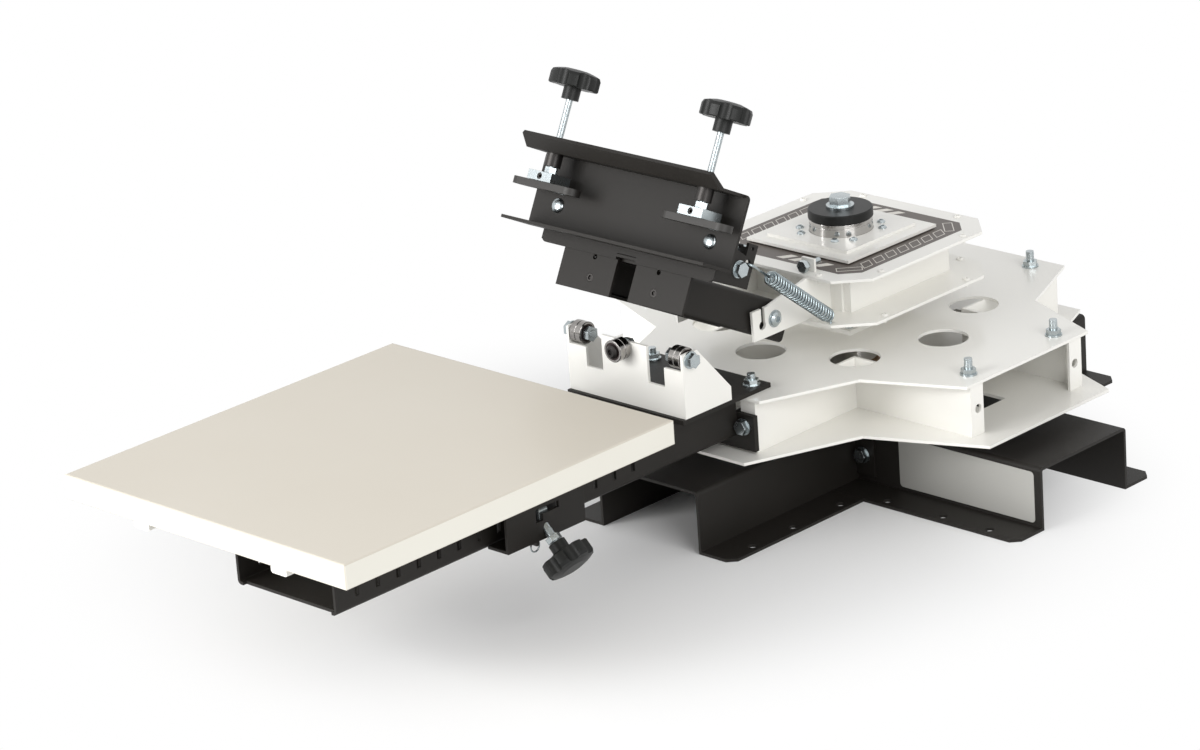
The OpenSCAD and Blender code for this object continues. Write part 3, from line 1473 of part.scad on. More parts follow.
slack_low = 0.3;
slack_high = 1.3;
hole_low = [anchor_at, -anchor_y, deck_top - head_t / 2];
hole_high = raised_point([cross_half - cross_t / 2, -hook_hole_y, hook_hole_z]);
pull = unit(hole_high - hole_low);
anchor_low = hole_low + slack_low * pull;
anchor_high = hole_high - slack_high * pull;
low_side = -unit([0, 0, 1] - pull[2] * pull);
high_side = -unit([1, 0, 0] - pull[0] * pull);
low_start = anchor_low - low_side * hook_r;
high_start = anchor_high - high_side * hook_r;
axis_dir = unit(high_start - low_start);
axis_len = norm(high_start - low_start);
axis_u = unit(cross(axis_dir, [0, 1, 0]));
axis_v = cross(axis_dir, axis_u);
hook_turn = 130;
hook_rings = 8;
coil_low = hook_r + tail_len;
coil_high = axis_len - hook_r - shank_len;
coil_rings = 8;
wire_sides = 6;
lead_share = 0.5;

// Angle along the coil, from 0 to the full count of turns
coil_steps = coil_count * coil_rings;
function lead(t) = min(1, min(t, coil_count - t) / lead_share);
function coil_point(t) = low_start + axis_dir * (coil_low + (coil_high - coil_low) * t / coil_count)
    + coil_r * sin(90 * lead(t)) * (axis_u * cos(360 * t) + axis_v * sin(360 * t));

low_hook = [for (i = [0 : hook_rings]) let (a = hook_turn * (1 - i / hook_rings))
    low_start + low_side * hook_r * (1 - cos(a)) + axis_dir * hook_r * (1 - sin(a))];
high_hook = [for (i = [0 : hook_rings]) let (a = hook_turn * i / hook_rings)
    high_start + high_side * hook_r * (1 - cos(a)) - axis_dir * hook_r * (1 - sin(a))];
spring_path = concat(low_hook, [for (i = [0 : coil_steps]) coil_point(i / coil_rings)], high_hook);
spring_count = len(spring_path);

// Tangent at each point, and a normal carried along the wire without twist
tangents = [for (i = [0 : spring_count - 1])
    unit(spring_path[min(i + 1, spring_count - 1)] - spring_path[max(i - 1, 0)])];
function carried(n, t) = unit(n - t * (n * t));
normals = [for (i = 0, n = carried(axis_v, tangents[0]); i < spring_count;
    i = i + 1, n = i < spring_count ? carried(n, tangents[i]) : n) n];
spring_points = [for (i = [0 : spring_count - 1], j = [0 : wire_sides - 1])
    let (a = 360 * j / wire_sides)
        spring_path[i] + spring_wire / 2 * (normals[i] * cos(a) + cross(tangents[i], normals[i]) * sin(a))];
spring_faces = concat(
    [for (i = [0 : spring_count - 2], j = [0 : wire_sides - 1]) let (k = (j + 1) % wire_sides)
        [i * wire_sides + j, (i + 1) * wire_sides + j, i * wire_sides + k]],
    [for (i = [0 : spring_count - 2], j = [0 : wire_sides - 1]) let (k = (j + 1) % wire_sides)
        [(i + 1) * wire_sides + j, (i + 1) * wire_sides + k, i * wire_sides + k]],
    [for (j = [1 : wire_sides - 2]) [0, j, j + 1]],
    [for (j = [1 : wire_sides - 2]) let (e = (spring_count - 1) * wire_sides) [e, e + j + 1, e + j]]
);

// Least gap between points of the wire that are half a coil or more apart
function far_gap(i) = min([for (j = [i + coil_rings / 2 : min(i + 3 * coil_rings, spring_count - 1)])
    norm(spring_path[i] - spring_path[j])]);
spring_gap = min([for (i = [0 : spring_count - 1 - coil_rings]) far_gap(i)]) - spring_wire;
echo(spring_gap = spring_gap);

module spring() color(zinc) polyhedron(points = spring_points, faces = spring_faces);

module spring_right() spring();

module spring_left() mirror([1, 0, 0]) spring();

base_channel();
front_leg();
rear_leg();
base_bolts();
centre_post();
post_foot();
thrust_washer();
cap_disc();
cap_bolt();
rotor_bottom_plate();
rotor_top_plate();
rotor_bushes();
rotor_webs();
rotor_bearing_plate();
station_studs();
head_thrust_washer();
pallet_arm();
arm_end_plate();
arm_top_plate();
arm_bolts();
gate();
roller_pins();
roller_centre();
roller_right();
roller_left();
pallet_board();
pallet_rails();
pallet_screws();
saddle();
saddle_glides();
lock_block();
lock_pad();
lock_knob();
lock_stud();
index_latch();
head_lower_plate();
head_top_plate();
head_box();
head_hub();
head_bushes();
bearing_block();
head_screws();
yoke_plates();
tilt_axle();
stop_bolt();
print_arm();
arm_bushes();
crosshead();
hanging_plates();
screen_plate();
print_head_bolts();
clamp_collars();
spring_right();
spring_left();
clamp_shoe_right();
clamp_shoe_left();
clamp_knob_right();
clamp_knob_left();
clamp_stud_right();
clamp_stud_left();
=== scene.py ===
import json
import math
import bmesh
import bpy
from mathutils import Matrix, Vector


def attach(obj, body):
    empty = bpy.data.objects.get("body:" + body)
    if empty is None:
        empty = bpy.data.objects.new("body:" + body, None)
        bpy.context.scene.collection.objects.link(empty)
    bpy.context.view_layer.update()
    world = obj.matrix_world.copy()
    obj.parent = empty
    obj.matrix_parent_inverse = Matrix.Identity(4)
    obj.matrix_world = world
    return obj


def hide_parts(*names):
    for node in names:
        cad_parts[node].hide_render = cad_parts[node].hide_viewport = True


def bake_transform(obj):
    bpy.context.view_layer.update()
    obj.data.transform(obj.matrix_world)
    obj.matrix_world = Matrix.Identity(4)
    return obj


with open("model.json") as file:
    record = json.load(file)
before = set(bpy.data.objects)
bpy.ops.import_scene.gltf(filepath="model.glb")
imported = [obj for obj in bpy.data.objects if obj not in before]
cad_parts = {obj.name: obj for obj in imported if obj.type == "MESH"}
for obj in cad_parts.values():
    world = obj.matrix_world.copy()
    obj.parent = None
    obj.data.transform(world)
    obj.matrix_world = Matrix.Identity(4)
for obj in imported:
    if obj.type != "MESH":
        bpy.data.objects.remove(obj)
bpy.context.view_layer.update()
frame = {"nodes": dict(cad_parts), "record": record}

nodes = frame["nodes"]
mm = 0.001


# Shader maths

def lin(red, green, blue):
    # linear colour from display values of 0 to 255
    def one(value):
        value /= 255
        return value / 12.92 if value <= 0.04045 else ((value + 0.055) / 1.055) ** 2.4
    return (one(red), one(green), one(blue), 1.0)


class Value:
    # wraps an output socket, so that shader maths reads as an expression
    def __init__(self, graph, socket):
        self.graph = graph
        self.socket = socket

    def math(self, kind, *others):
        return self.graph.node("ShaderNodeMath", {"operation": kind}, dict(enumerate((self, *others))))

    def __add__(self, other): return self.math("ADD", other)
    def __sub__(self, other): return self.math("SUBTRACT", other)
    def __mul__(self, other): return self.math("MULTIPLY", other)
    def __gt__(self, other): return self.math("GREATER_THAN", other)
    def __lt__(self, other): return self.math("LESS_THAN", other)
    def __abs__(self): return self.math("ABSOLUTE")
    def most(self, other): return self.math("MAXIMUM", other)
    def root(self): return self.math("SQRT")


class Graph:
    # one node tree with a single way to add nodes
    def __init__(self, tree):
        self.tree = tree
        tree.nodes.clear()

    def node(self, kind, settings=None, values=None, out=0):
        made = self.tree.nodes.new(kind)
        for key, value in (settings or {}).items():
            setattr(made, key, value)
        for key, value in (values or {}).items():
            self.put(self.find(made.inputs, key), value)
        return Value(self, self.find(made.outputs, out)) if len(made.outputs) else None

    def find(self, sockets, key):
        if isinstance(key, int):
            return sockets[key]
        return next(s for s in sockets if s.identifier == key or (s.name == key and s.enabled))

    def put(self, socket, value):
        if isinstance(value, Value):
            self.tree.links.new(value.socket, socket)
        else:
            socket.default_value = value

    def mixColor(self, first, second, share):
        return self.node("ShaderNodeMix", {"data_type": "RGBA"},
                         {"Factor_Float": share, "A_Color": first, "B_Color": second}, "Result_Color")

    def noise(self, place, scale, detail=2.0):
        return self.node("ShaderNodeTexNoise", None, {
            "Vector": place, "Scale": scale, "Detail": detail}, "Fac")

    def split(self, place):
        sockets = self.node("ShaderNodeSeparateXYZ", None, {"Vector": place}, "X").socket.node.outputs
        return [Value(self, sockets[axis]) for axis in ("X", "Y", "Z")]


# Looks. A patch noise mixes colour and tone and varies roughness by spread, and a grain noise gives the
# relief, in metres. patch and grain are noise scales per metre.

looks = {
    "blackCoat": {
        "color": lin(25, 23, 20), "tone": lin(33, 30, 27),
        "metal": 0.0, "rough": 0.52, "coat": 0.0, "shine": 0.26,
        "grain": 1500.0, "relief": 0.00012, "patch": 14.0, "spread": 0.1,
    },
    "whiteCoat": {
        "color": lin(237, 236, 231), "tone": lin(232, 230, 224),
        "metal": 0.0, "rough": 0.3, "coat": 0.35, "shine": 0.5,
        "grain": 420.0, "relief": 0.00002, "patch": 7.0, "spread": 0.06,
    },
    "zinc": {
        "color": lin(196, 203, 205), "tone": lin(160, 169, 172),
        "metal": 1.0, "rough": 0.27, "coat": 0.0, "shine": 0.5,
        "grain": 900.0, "relief": 0.00001, "patch": 90.0, "spread": 0.12,
    },
    "steel": {
        "color": lin(203, 201, 198), "tone": lin(172, 170, 168),
        "metal": 1.0, "rough": 0.14, "coat": 0.0, "shine": 0.5,
        "grain": 700.0, "relief": 0.000004, "patch": 60.0, "spread": 0.08,
    },
    "darkScrew": {
        "color": lin(40, 38, 37), "tone": lin(58, 55, 53),
        "metal": 0.6, "rough": 0.36, "coat": 0.0, "shine": 0.5,
        "grain": 900.0, "relief": 0.00001, "patch": 90.0, "spread": 0.1,
    },
    "seal": {
        "color": lin(66, 55, 53), "tone": lin(44, 37, 36),
        "metal": 0.7, "rough": 0.26, "coat": 0.0, "shine": 0.4,
        "grain": 900.0, "relief": 0.00001, "patch": 60.0, "spread": 0.1,
    },
    "bronze": {
        "color": lin(150, 112, 66), "tone": lin(118, 84, 50),
        "metal": 1.0, "rough": 0.38, "coat": 0.0, "shine": 0.5,
        "grain": 900.0, "relief": 0.00002, "patch": 80.0, "spread": 0.1,
    },
    "nylon": {
        "color": lin(214, 208, 190), "tone": lin(196, 190, 170),
        "metal": 0.0, "rough": 0.45, "coat": 0.0, "shine": 0.4,
        "grain": 500.0, "relief": 0.00002, "patch": 30.0, "spread": 0.08,
    },
    "plastic": {
        "color": lin(18, 19, 18), "tone": lin(26, 27, 26),
        "metal": 0.0, "rough": 0.4, "coat": 0.0, "shine": 0.26,
        "grain": 1100.0, "relief": 0.00003, "patch": 40.0, "spread": 0.08,
    },
    "board": {
        "color": lin(205, 199, 187), "tone": lin(200, 193, 180),
        "metal": 0.0, "rough": 0.4, "coat": 0.1, "shine": 0.4,
        "grain": 620.0, "relief": 0.000012, "patch": 5.0, "spread": 0.06,
    },
    "boardEdge": {
        "color": lin(222, 220, 210), "tone": lin(216, 213, 203),
        "metal": 0.0, "rough": 0.42, "coat": 0.1, "shine": 0.4,
        "grain": 500.0, "relief": 0.00002, "patch": 9.0, "spread": 0.06,
    },
    "bearing": {
        "color": lin(176, 173, 170), "tone": lin(120, 117, 114),
        "metal": 1.0, "rough": 0.16, "coat": 0.0, "shine": 0.5,
        "grain": 700.0, "relief": 0.000004, "patch": 160.0, "spread": 0.08,
    },
    "band": {
        "color": lin(78, 71, 66), "tone": lin(86, 78, 72),
        "metal": 0.0, "rough": 0.42, "coat": 0.1, "shine": 0.4,
        "grain": 500.0, "relief": 0.00001, "patch": 30.0, "spread": 0.06,
    },
    "bandLine": {
        "color": lin(226, 222, 214), "tone": lin(216, 212, 204),
        "metal": 0.0, "rough": 0.4, "coat": 0.1, "shine": 0.4,
        "grain": 500.0, "relief": 0.00001, "patch": 30.0, "spread": 0.06,
    },
    "plate": {
        "color": lin(184, 183, 178), "tone": lin(172, 171, 166),
        "metal": 0.25, "rough": 0.42, "coat": 0.1, "shine": 0.5,
        "grain": 900.0, "relief": 0.000005, "patch": 6.0, "spread": 0.08,
    },
    "spring": {
        "color": lin(176, 186, 189), "tone": lin(128, 139, 143),
        "metal": 1.0, "rough": 0.14, "coat": 0.0, "shine": 0.5,
        "grain": 900.0, "relief": 0.00001, "patch": 60.0, "spread": 0.1,
    },
}


finish = {"patchDetail": 3.0, "bevelSamples": 4, "bevel": 0.5 * mm, "coatRough": 0.12}


def layer(graph, place, look):
    spread = graph.noise(place, look["patch"], finish["patchDetail"])
    return {
        "color": graph.mixColor(look["color"], look["tone"], spread),
        "metal": look["metal"],
        "rough": spread * look["spread"] + (look["rough"] - look["spread"] / 2),
        "coat": look["coat"],
    }


def mixed(first, second, share):
    return share * (second - first) + first


def surface(name, look, other=None, mask=None):
    material = bpy.data.materials.new(name)
    material.use_nodes = True
    graph = Graph(material.node_tree)
    place = graph.node("ShaderNodeTexCoord", None, None, "Object")
    main = looks[look]
    got = layer(graph, place, main)
    if other:
        share = mask(*graph.split(place))
        second = layer(graph, place, looks[other])
        got = {
            "color": graph.mixColor(got["color"], second["color"], share),
            "metal": mixed(got["metal"], second["metal"], share),
            "rough": mixed(got["rough"], second["rough"], share),
            "coat": mixed(got["coat"], second["coat"], share),
        }
    soft = graph.node("ShaderNodeBevel", {"samples": finish["bevelSamples"]},
                      {"Radius": finish["bevel"]}, "Normal")
    bump = graph.node("ShaderNodeBump", None, {
        "Strength": 1.0, "Distance": main["relief"],
        "Height": graph.noise(place, main["grain"]), "Normal": soft}, "Normal")
    shader = graph.node("ShaderNodeBsdfPrincipled", None, {
        "Base Color": got["color"], "Metallic": got["metal"], "Roughness": got["rough"],
        "Coat Weight": got["coat"], "Coat Roughness": finish["coatRough"],
        "Specular IOR Level": main["shine"], "Normal": bump,
    }, "BSDF")
    graph.node("ShaderNodeOutputMaterial", None, {"Surface": shader})
    return material


# Masks in the row frame, which is in metres. Each marks the faces of a piece that have its second look.

arm = {"pivotBack": 0.160, "pivotUp": 0.196, "raised": 27}
shoe = {"barTop": 0.06905, "screwAcross": 0.0975, "screwUp": 0.0736, "screwRound": 0.0031}
latchTop = 0.0958
paintTop = 0.2319
tab = {"front": -0.1002, "back": -0.0968}
roller = {"sideFrom": 0.04, "sideBack": 0.306, "middleUp": 0.2045, "sideUp": 0.204, "sealRound": 0.0088}
pin = {"half": 0.02, "front": -0.3316}
boardEdges = {"half": 0.1835, "front": -0.8518, "back": -0.4433}
tiltSin = math.sin(math.radians(arm["raised"]))
tiltCos = math.cos(math.radians(arm["raised"]))


def raisedUp(y, z):
    # height above the pivot in the raised frame of the print head
    return (y + arm["pivotBack"]) * tiltSin + (z - arm["pivotUp"]) * tiltCos


def shoeBar(x, y, z):
    # the bar of a clamp lies low, and the set screw sits in the middle of the block's face
    up = raisedUp(y, z)
    off = up - shoe["screwUp"]
    across = abs(x) - shoe["screwAcross"]
    return (up < shoe["barTop"]).most((across * across + off * off).root() < shoe["screwRound"])


def hangScrew(x, y, z):
    return raisedUp(y, z) < 0.0


def latchLever(x, y, z):
    return z > latchTop


def paintedScrew(x, y, z):
    return z < paintTop


def stopTab(x, y, z):
    return (y < tab["back"]) * (y > tab["front"])


def rollerFace(x, y, z):
    # seal ring of a bearing, between its inner and outer rings
    side = abs(x) > roller["sideFrom"]
    across = mixed(x, y + roller["sideBack"], side)
    up = z - mixed(roller["middleUp"], roller["sideUp"], side)
    return (across * across + up * up).root() < roller["sealRound"]


def middlePin(x, y, z):
    return (abs(x) < pin["half"]) * (y < pin["front"])


def boardSide(x, y, z):
    return (abs(x) > boardEdges["half"]).most(y < boardEdges["front"]).most(y > boardEdges["back"])


materials = {
    "blackCoat": surface("blackCoat", "blackCoat"),
    "whiteCoat": surface("whiteCoat", "whiteCoat"),
    "zinc": surface("zinc", "zinc"),
    "steel": surface("polishedSteel", "steel"),
    "bronze": surface("bronze", "bronze"),
    "nylon": surface("nylon", "nylon"),
    "plastic": surface("blackPlastic", "plastic"),
    "collar": surface("guideCollar", "darkScrew"),
    "shoe": surface("clampShoe", "zinc", "blackCoat", shoeBar),
    "headBolts": surface("printHeadBolts", "zinc", "darkScrew", hangScrew),
    "latch": surface("indexLatch", "zinc", "blackCoat", latchLever),
    "headScrews": surface("headScrews", "zinc", "whiteCoat", paintedScrew),
    "stopBolt": surface("stopBolt", "zinc", "whiteCoat", stopTab),
    "roller": surface("bearing", "bearing", "seal", rollerFace),
    "pins": surface("rollerPins", "zinc", "darkScrew", middlePin),
    "board": surface("palletBoard", "board", "boardEdge", boardSide),
    "band": surface("topBand", "band"),
    "bandLine": surface("topBandLine", "bandLine"),
    "plate": surface("barePlate", "plate"),
    "spring": surface("springWire", "spring"),
}
slotLooks = {
    "black_coat": "blackCoat", "white_coat": "whiteCoat", "zinc": "zinc", "polished_steel": "steel",
    "bronze": "bronze", "nylon": "nylon", "black_plastic": "plastic", "laminate": "board",
}
nodeLooks = {
    "clamp_collars": "collar", "clamp_shoe_right": "shoe", "clamp_shoe_left": "shoe",
    "head_screws": "headScrews", "print_head_bolts": "headBolts", "index_latch": "latch",
    "stop_bolt": "stopBolt", "roller_pins": "pins",
    "roller_centre": "roller", "roller_right": "roller", "roller_left": "roller",
}
partSlots = {part["node"]: part["material_slot"] for part in frame["record"]["subparts"]}
for name, obj in nodes.items():
    look = nodeLooks.get(name, slotLooks[partSlots[name]])
    for slot in obj.material_slots:
        slot.material = materials[look]
print("materials done")


# Pieces

def added(name, data):
    obj = bpy.data.objects.new(name, data)
    bpy.context.scene.collection.objects.link(obj)
    return obj


def place(name, mesh, material, body, slotName):
    obj = added(name, mesh)
    mesh.materials.clear()
    mesh.materials.append(material)
    if body:
        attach(obj, body)
    return obj


def meshOf(name, points, faces, edges=()):
    mesh = bpy.data.meshes.new(name)
    mesh.from_pydata([tuple(v * mm for v in p) for p in points], list(edges), faces)
    work = bmesh.new()
    work.from_mesh(mesh)
    bmesh.ops.recalc_face_normals(work, faces=work.faces)
    work.to_mesh(mesh)
    work.free()
    return mesh


def slabs(name, outlines, low, high):
    # closed plates between two heights over outlines in plan
    points, faces = [], []
    for outline in outlines:
        start, count = len(points), len(outline)
        points += [(x, y, z) for z in (low, high) for x, y in outline]
        faces.append(tuple(start + i for i in reversed(range(count))))
        faces.append(tuple(start + count + i for i in range(count)))
        for i in range(count):
            j = (i + 1) % count
            faces.append(tuple(start + k for k in (i, j, j + count, i + count)))
    return meshOf(name, points, faces)


def hoops(name, pairs, low, high):
    # closed rings between two heights, each between two outlines of as many corners
    points, faces = [], []
    for outers, inners in pairs:
        start, count = len(points), len(outers)
        points += [(x, y, z) for z in (low, high) for ring in (outers, inners) for x, y in ring]
        up = 2 * count
        for i in range(count):
            j = (i + 1) % count
            a, b, c, d = (start + k for k in (i, j, j + count, i + count))
            faces += [(d, c, b, a), (a + up, b + up, c + up, d + up),
                      (a, b, b + up, a + up), (c, d, d + up, c + up)]
    return meshOf(name, points, faces)


# Wire and thread ridges: one node group sweeps a round profile along a chain of points

sweep = bpy.data.node_groups.new("sweepWire", "GeometryNodeTree")
sweep.interface.new_socket("Geometry", in_out="INPUT", socket_type="NodeSocketGeometry")
radiusKey, sidesKey, finishKey = [
    sweep.interface.new_socket(word, in_out="INPUT", socket_type=kind).identifier
    for word, kind in (("Wire radius", "NodeSocketFloat"), ("Sides", "NodeSocketInt"),
                       ("Finish", "NodeSocketMaterial"))]
sweep.interface.new_socket("Geometry", in_out="OUTPUT", socket_type="NodeSocketGeometry")
wires = Graph(sweep)
entry = wires.node("NodeGroupInput", None, None, 0)
entries = entry.socket.node.outputs
route = wires.node("GeometryNodeMeshToCurve", None, {"Mesh": entry}, "Curve")
profile = wires.node("GeometryNodeCurvePrimitiveCircle", {"mode": "RADIUS"}, {
    "Resolution": Value(wires, entries["Sides"]), "Radius": Value(wires, entries["Wire radius"])}, "Curve")
tube = wires.node("GeometryNodeCurveToMesh", None, {
    "Curve": route, "Profile Curve": profile, "Fill Caps": True}, "Mesh")
smooth = wires.node("GeometryNodeSetShadeSmooth", None, {"Geometry": tube}, "Geometry")
solid = wires.node("GeometryNodeRealizeInstances", None, {"Geometry": smooth}, "Geometry")
painted = wires.node("GeometryNodeSetMaterial", None, {
    "Geometry": solid, "Material": Value(wires, entries["Finish"])}, "Geometry")
exitNode = sweep.nodes.new("NodeGroupOutput")
sweep.links.new(painted.socket, exitNode.inputs[0])


def swept(name, chains, radius, sides, material):
    points, edges = [], []
    for chain in chains:
        start = len(points)
        points += chain
        edges += [(start + i, start + i + 1) for i in range(len(chain) - 1)]
    source = added(name + "Route", meshOf(name + "Route", points, [], edges))
    modifier = source.modifiers.new("sweep", "NODES")
    modifier.node_group = sweep
    modifier[radiusKey] = radius * mm
    modifier[sidesKey] = sides
    modifier[finishKey] = material
    graph = bpy.context.evaluated_depsgraph_get()
    mesh = bpy.data.meshes.new_from_object(source.evaluated_get(graph), depsgraph=graph)
    mesh.name = name
    bpy.data.objects.remove(source)
    return mesh


# Springs, from the lower plate of the head to the ears

spring = {
    "lowStart": Vector((74.3263, -103.089, 183.527)), "highStart": Vector((115.17, -255.387, 290.187)),
    "lowSide": Vector((0.132449, -0.572247, -0.809315)),
    "highSide": Vector((-0.983207, -0.14635, 0.109024)),
    "axis": Vector((0.214556, -0.800028, 0.560286)), "coilLow": 8.0, "coilHigh": 150.866,
    "hook": 5.5, "hookTurn": 130, "hookSteps": 24, "coil": 6.2, "turns": 24, "steps": 40, "leadTurns": 0.5,
    "wire": 1.3, "sides": 14,
}


def hookPoint(start, side, axis, share):
    # a point of an end hook, from the coil's end at share 0 to the hook's tip at share 1
    angle = math.radians(spring["hookTurn"] * share)
    hook = spring["hook"]
    return start + side * hook * (1 - math.cos(angle)) + axis * hook * (1 - math.sin(angle))


def springRoute():
    axis = spring["axis"].normalized()
    across = axis.cross(Vector((0, 1, 0))).normalized()
    other = axis.cross(across)
    hookSteps, steps, turns = spring["hookSteps"], spring["steps"], spring["turns"]
    points = [hookPoint(spring["lowStart"], spring["lowSide"], axis, i / hookSteps)
              for i in range(hookSteps, -1, -1)]
    rise = (spring["coilHigh"] - spring["coilLow"]) / turns
    for i in range(turns * steps + 1):
        turn = i / steps
        lead = min(1, min(turn, turns - turn) / spring["leadTurns"])
        reach = spring["coil"] * math.sin(math.pi / 2 * lead)
        angle = 2 * math.pi * turn
        points.append(spring["lowStart"] + axis * (spring["coilLow"] + rise * turn)
                      + (across * math.cos(angle) + other * math.sin(angle)) * reach)
    points += [hookPoint(spring["highStart"], spring["highSide"], -axis, i / hookSteps)
               for i in range(hookSteps + 1)]
    return [tuple(p) for p in points]


rightRoute = springRoute()
for side, word in ((1, "right"), (-1, "left")):
    route = [(side * x, y, z) for x, y, z in rightRoute]
    mesh = swept("springWire_" + word, [route], spring["wire"], spring["sides"], materials["spring"])
    obj = place("springWire_" + word, mesh, materials["spring"], None, "zinc")
    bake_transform(obj)
    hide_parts("spring_" + word)
print("springs done")


# Thread ridges on the studs

def helix(start, along, radius, pitch, length):
    along = along.normalized()
    across = along.orthogonal().normalized()
    other = along.cross(across)
    steps = thread["steps"]
    count = int(steps * length / pitch)
    return [tuple(start + along * (pitch * i / steps)
                  + (across * math.cos(2 * math.pi * i / steps)
                     + other * math.sin(2 * math.pi * i / steps)) * radius)
            for i in range(count + 1)]


def raisedPoint(x, y, z):
    # a place given from the pivot in the raised frame of the print head, in mm
    return Vector((x, y * tiltCos + z * tiltSin - arm["pivotBack"] / mm,
                   arm["pivotUp"] / mm - y * tiltSin + z * tiltCos))


def ridges(name, chains, ridge, body):
    mesh = swept(name, chains, ridge, thread["sides"], materials["zinc"])
    place(name, mesh, materials["zinc"], body, "zinc")


thread = {"steps": 16, "sides": 4, "coarse": 1.25, "fine": 1.0, "coarseRadius": 3.95, "coarseRidge": 0.3}
stud = {"near": 65, "far": 212, "top": 158.0, "low": 149.4, "plateLow": 154.0, "plateFrom": -200}
clamp = {"across": 97.5, "y": -198, "low": 79.6, "high": 150.6, "radius": 3.15, "ridge": 0.28}
lock = {"at": Vector((91.6, -523.4, 111.0)), "gap": 1.0, "length": 14.4}
near, far = stud["near"], stud["far"]
studPlaces = [(near, -far), (far, near), (near, far), (-far, near)]
studPlaces += [(-x, y) if abs(y) > abs(x) else (x, -y) for x, y in studPlaces]
chains = []
for x, y in studPlaces:
    # the two front studs also hold the top end plate of the arm, so their threads start higher
    low = stud["plateLow"] if y < stud["plateFrom"] else stud["low"]
    chains.append(helix(Vector((x, y, low)), Vector((0, 0, 1)), thread["coarseRadius"], thread["coarse"],
                        stud["top"] - low))
ridges("stationThreads", chains, thread["coarseRidge"], "rotor")
for side, word in ((1, "right"), (-1, "left")):
    foot, head = (raisedPoint(side * clamp["across"], clamp["y"], clamp[key]) for key in ("low", "high"))
    chain = helix(foot, head - foot, clamp["radius"], thread["fine"], (head - foot).length)
    ridges("clampThread_" + word, [chain], clamp["ridge"], "knob_" + word)
lockWay = Vector((1, 0, -1)).normalized()
chain = helix(lock["at"] + lockWay * lock["gap"], lockWay, thread["coarseRadius"], thread["coarse"],
              lock["length"])
ridges("lockThread", [chain], thread["coarseRidge"], "lock")
print("threads done")


# Band on the head with a generic pattern

def octagon(half, cut):
    corners = []
    for i in range(4):
        turn = Matrix.Rotation(math.pi / 2 * i, 2)
        corners += [tuple(turn @ Vector((cut - half, -half))), tuple(turn @ Vector((half - cut, -half)))]
    return corners


band = {"outer": 91.8, "outerCut": 16.5, "inner": 60.0, "innerCut": 8.0, "low": 225.51, "high": 225.62,
        "figureTop": 225.7, "figureAt": 79.6, "figureHalf": 6.6, "figureUp": 6.4, "slant": 4.4, "line": 0.9,
        "pitch": 18.2, "perSide": 7, "barHalf": 4.6, "barPitch": 15.5, "bars": 4, "barShift": 22.0,
        "cornerAt": 106.0, "cornerHalf": 13.0, "cornerUp": 5.0}
bandRings = (octagon(band["outer"], band["outerCut"]), octagon(band["inner"], band["innerCut"]))
place("topBand", hoops("topBand", [bandRings], band["low"], band["high"]),
      materials["band"], "head", "black_plastic")


def figure(middle, half, rise, slant, line, turn):
    # slanted outline: outer and inner corners about a place, turned about the post
    rings = []
    for inset in (0, line):
        w, h = half - inset, rise - inset
        s = slant * h / rise
        corners = [(-w - s, -h), (w - s, -h), (w + s, h), (-w + s, h)]
        rings.append([tuple(turn @ Vector((middle[0] + x, middle[1] + y))) for x, y in corners])
    return rings


figures, bars = [], []
for i in range(4):
    turn = Matrix.Rotation(math.pi / 2 * i, 2)
    if i % 2:
        for k in range(band["perSide"]):
            spot = ((k - (band["perSide"] - 1) / 2) * band["pitch"], -band["figureAt"])
            figures.append(figure(spot, band["figureHalf"], band["figureUp"], band["slant"],
                                  band["line"], turn))
    else:
        for k in range(band["bars"]):
            spot = (band["barShift"] + (k - (band["bars"] - 1) / 2) * band["barPitch"], -band["figureAt"])
            bars.append(figure(spot, band["barHalf"], band["figureUp"], band["slant"], 0, turn)[0])
    turn = Matrix.Rotation(math.pi / 2 * i + math.pi / 4, 2)
    figures.append(figure((0, -band["cornerAt"]), band["cornerHalf"], band["cornerUp"], 0,
                          band["line"], turn))
place("topBandFigures", hoops("topBandFigures", figures, band["high"], band["figureTop"]),
      materials["bandLine"], "head", "white_coat")
place("topBandBars", slabs("topBandBars", bars, band["high"], band["figureTop"]),
      materials["bandLine"], "head", "white_coat")


# Bare plate on the front wall of the base channel, at its right end

label = {"left": 120.0, "right": 288.5, "low": 6.5, "high": 58.8, "back": -65.93, "front": -66.4,
         "round": 4.0, "steps": 6}


def roundedOutline(x0, x1, y0, y1, r, steps):
    corners = []
    for cx, cy, start in ((x1 - r, y1 - r, 0), (x0 + r, y1 - r, 90),
                          (x0 + r, y0 + r, 180), (x1 - r, y0 + r, 270)):
        for i in range(steps + 1):
            angle = math.radians(start + 90 * i / steps)
            corners.append((cx + r * math.cos(angle), cy + r * math.sin(angle)))
    return corners


outline = roundedOutline(label["left"], label["right"], label["low"], label["high"],
                         label["round"], label["steps"])
count = len(outline)
points = [(x, y, z) for y in (label["front"], label["back"]) for x, z in outline]
faces = [tuple(range(count)), tuple(reversed(range(count, 2 * count)))]
faces += [(i + count, (i + 1) % count + count, (i + 1) % count, i) for i in range(count)]
place("barePlate", meshOf("barePlate", points, faces), materials["plate"], "base", "zinc")
print("trim done")


# Floor, world and lamps

white = (1, 1, 1, 1)
floorMaterial = bpy.data.materials.new("paleFloor")
floorMaterial.use_nodes = True
graph = Graph(floorMaterial.node_tree)
shader = graph.node("ShaderNodeBsdfPrincipled", None, {
    "Base Color": lin(243, 243, 243), "Roughness": 0.9, "Specular IOR Level": 0.0}, "BSDF")
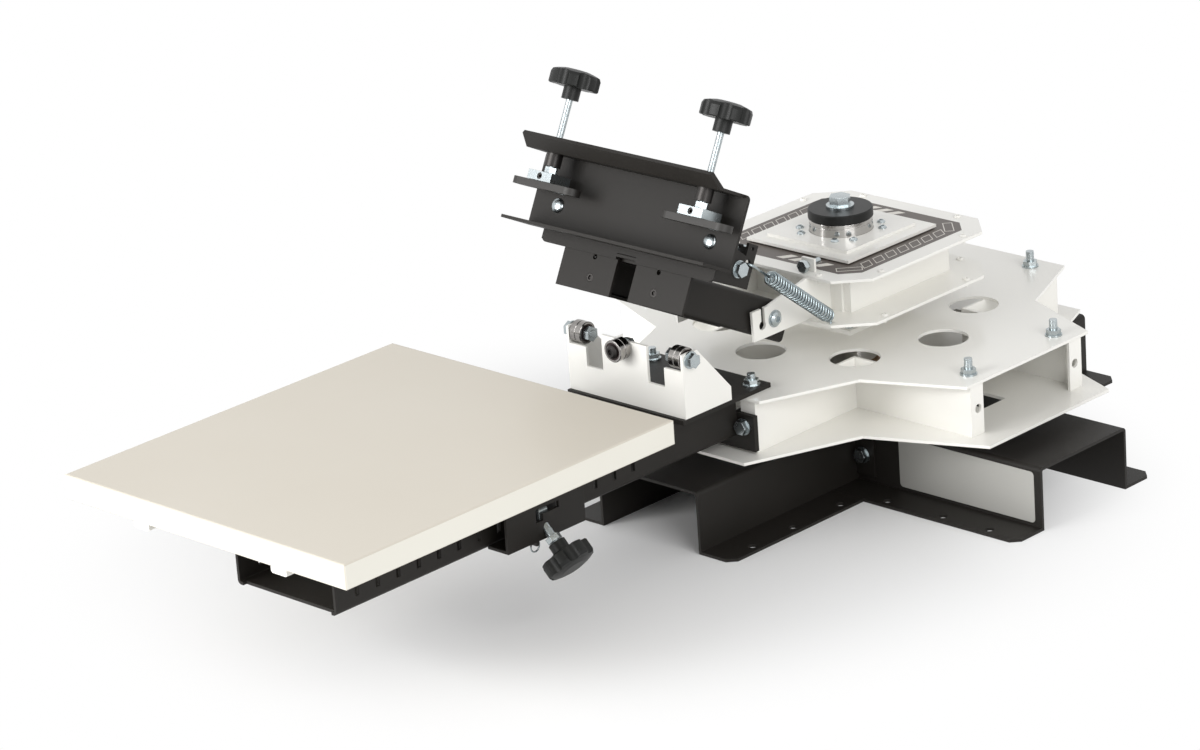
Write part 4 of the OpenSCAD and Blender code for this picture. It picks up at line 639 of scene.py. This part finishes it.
# the floor turns plain white away from the press, as the backdrop does
fade = {"x": -0.06, "y": -0.28, "from": 0.3, "to": 0.58}
x, y, z = graph.split(graph.node("ShaderNodeTexCoord", None, None, "Object"))
across, along = x - fade["x"], y - fade["y"]
away = graph.node("ShaderNodeMapRange", {"interpolation_type": "SMOOTHSTEP"}, {
    "Value": (across * across + along * along).root(),
    "From Min": fade["from"], "From Max": fade["to"]}, "Result")
glow = graph.node("ShaderNodeEmission", None, {"Color": white, "Strength": 1.0}, "Emission")
shades = graph.node("ShaderNodeMixShader", None, {0: away, 1: shader, 2: glow}, "Shader")
graph.node("ShaderNodeOutputMaterial", None, {"Surface": shades})
reach = 20.0
floorMesh = bpy.data.meshes.new("floor")
floorMesh.from_pydata([(-reach, -reach, 0), (reach, -reach, 0), (reach, reach, 0), (-reach, reach, 0)],
                      [], [(0, 1, 2, 3)])
floorMesh.materials.append(floorMaterial)
floor = added("floor", floorMesh)

world = bpy.data.worlds.new("studio")
bpy.context.scene.world = world
world.use_nodes = True
graph = Graph(world.node_tree)
rays = [graph.node("ShaderNodeLightPath", None, None, word)
        for word in ("Is Camera Ray", "Is Glossy Ray", "Is Transmission Ray")]
# the sky is plain white where it is seen, also in reflections, and softer as a light
ambient = 0.56
seen = rays[0].most(rays[1]).most(rays[2])
sky = graph.node("ShaderNodeBackground", None, {
    "Color": white, "Strength": mixed(ambient, 1.0, seen)}, "Background")
graph.node("ShaderNodeOutputWorld", None, {"Surface": sky})

target = Vector((-4.98, -345.36, 184.23)) * mm
lamps = {
    "keyLamp": {"from": (3.6, -1.2, 2.0), "size": 2.6, "power": 86.0},
    "topLamp": {"from": (-0.4, -0.9, 3.6), "size": 3.6, "power": 6.0},
    "fillLamp": {"from": (-1.2, -4.2, 1.4), "size": 2.8, "power": 218.0},
}
for name, lamp in lamps.items():
    data = bpy.data.lights.new(name, "AREA")
    data.shape = "SQUARE"
    data.size = lamp["size"]
    data.energy = lamp["power"]
    obj = added(name, data)
    obj.location = Vector(lamp["from"])
    obj.rotation_euler = (Vector(lamp["from"]) - target).to_track_quat("Z", "Y").to_euler()

# Camera, solved from the photograph

view = {"azimuth": 45.18, "elevation": 20.24, "roll": -4.06, "distance": 4.33313, "lens": 137.63,
        "sensor": 36.0, "far": 100.0}
az, el, roll = (math.radians(view[key]) for key in ("azimuth", "elevation", "roll"))
back = Vector((math.sin(az) * math.cos(el), -math.cos(az) * math.cos(el), math.sin(el)))
right = Vector((math.cos(az), math.sin(az), 0))
top = back.cross(right)
rolledRight = right * math.cos(roll) + top * math.sin(roll)
rolledUp = top * math.cos(roll) - right * math.sin(roll)
cameraData = bpy.data.cameras.new("camera")
cameraData.lens = view["lens"]
cameraData.sensor_width = view["sensor"]
cameraData.sensor_fit = "HORIZONTAL"
cameraData.clip_end = view["far"]
camera = added("camera", cameraData)
seat = target + back * view["distance"]
camera.matrix_world = Matrix.Translation(seat) @ Matrix((rolledRight, rolledUp, back)).transposed().to_4x4()
bpy.context.scene.camera = camera
bpy.context.scene.view_settings.view_transform = "Standard"
print("stage done")
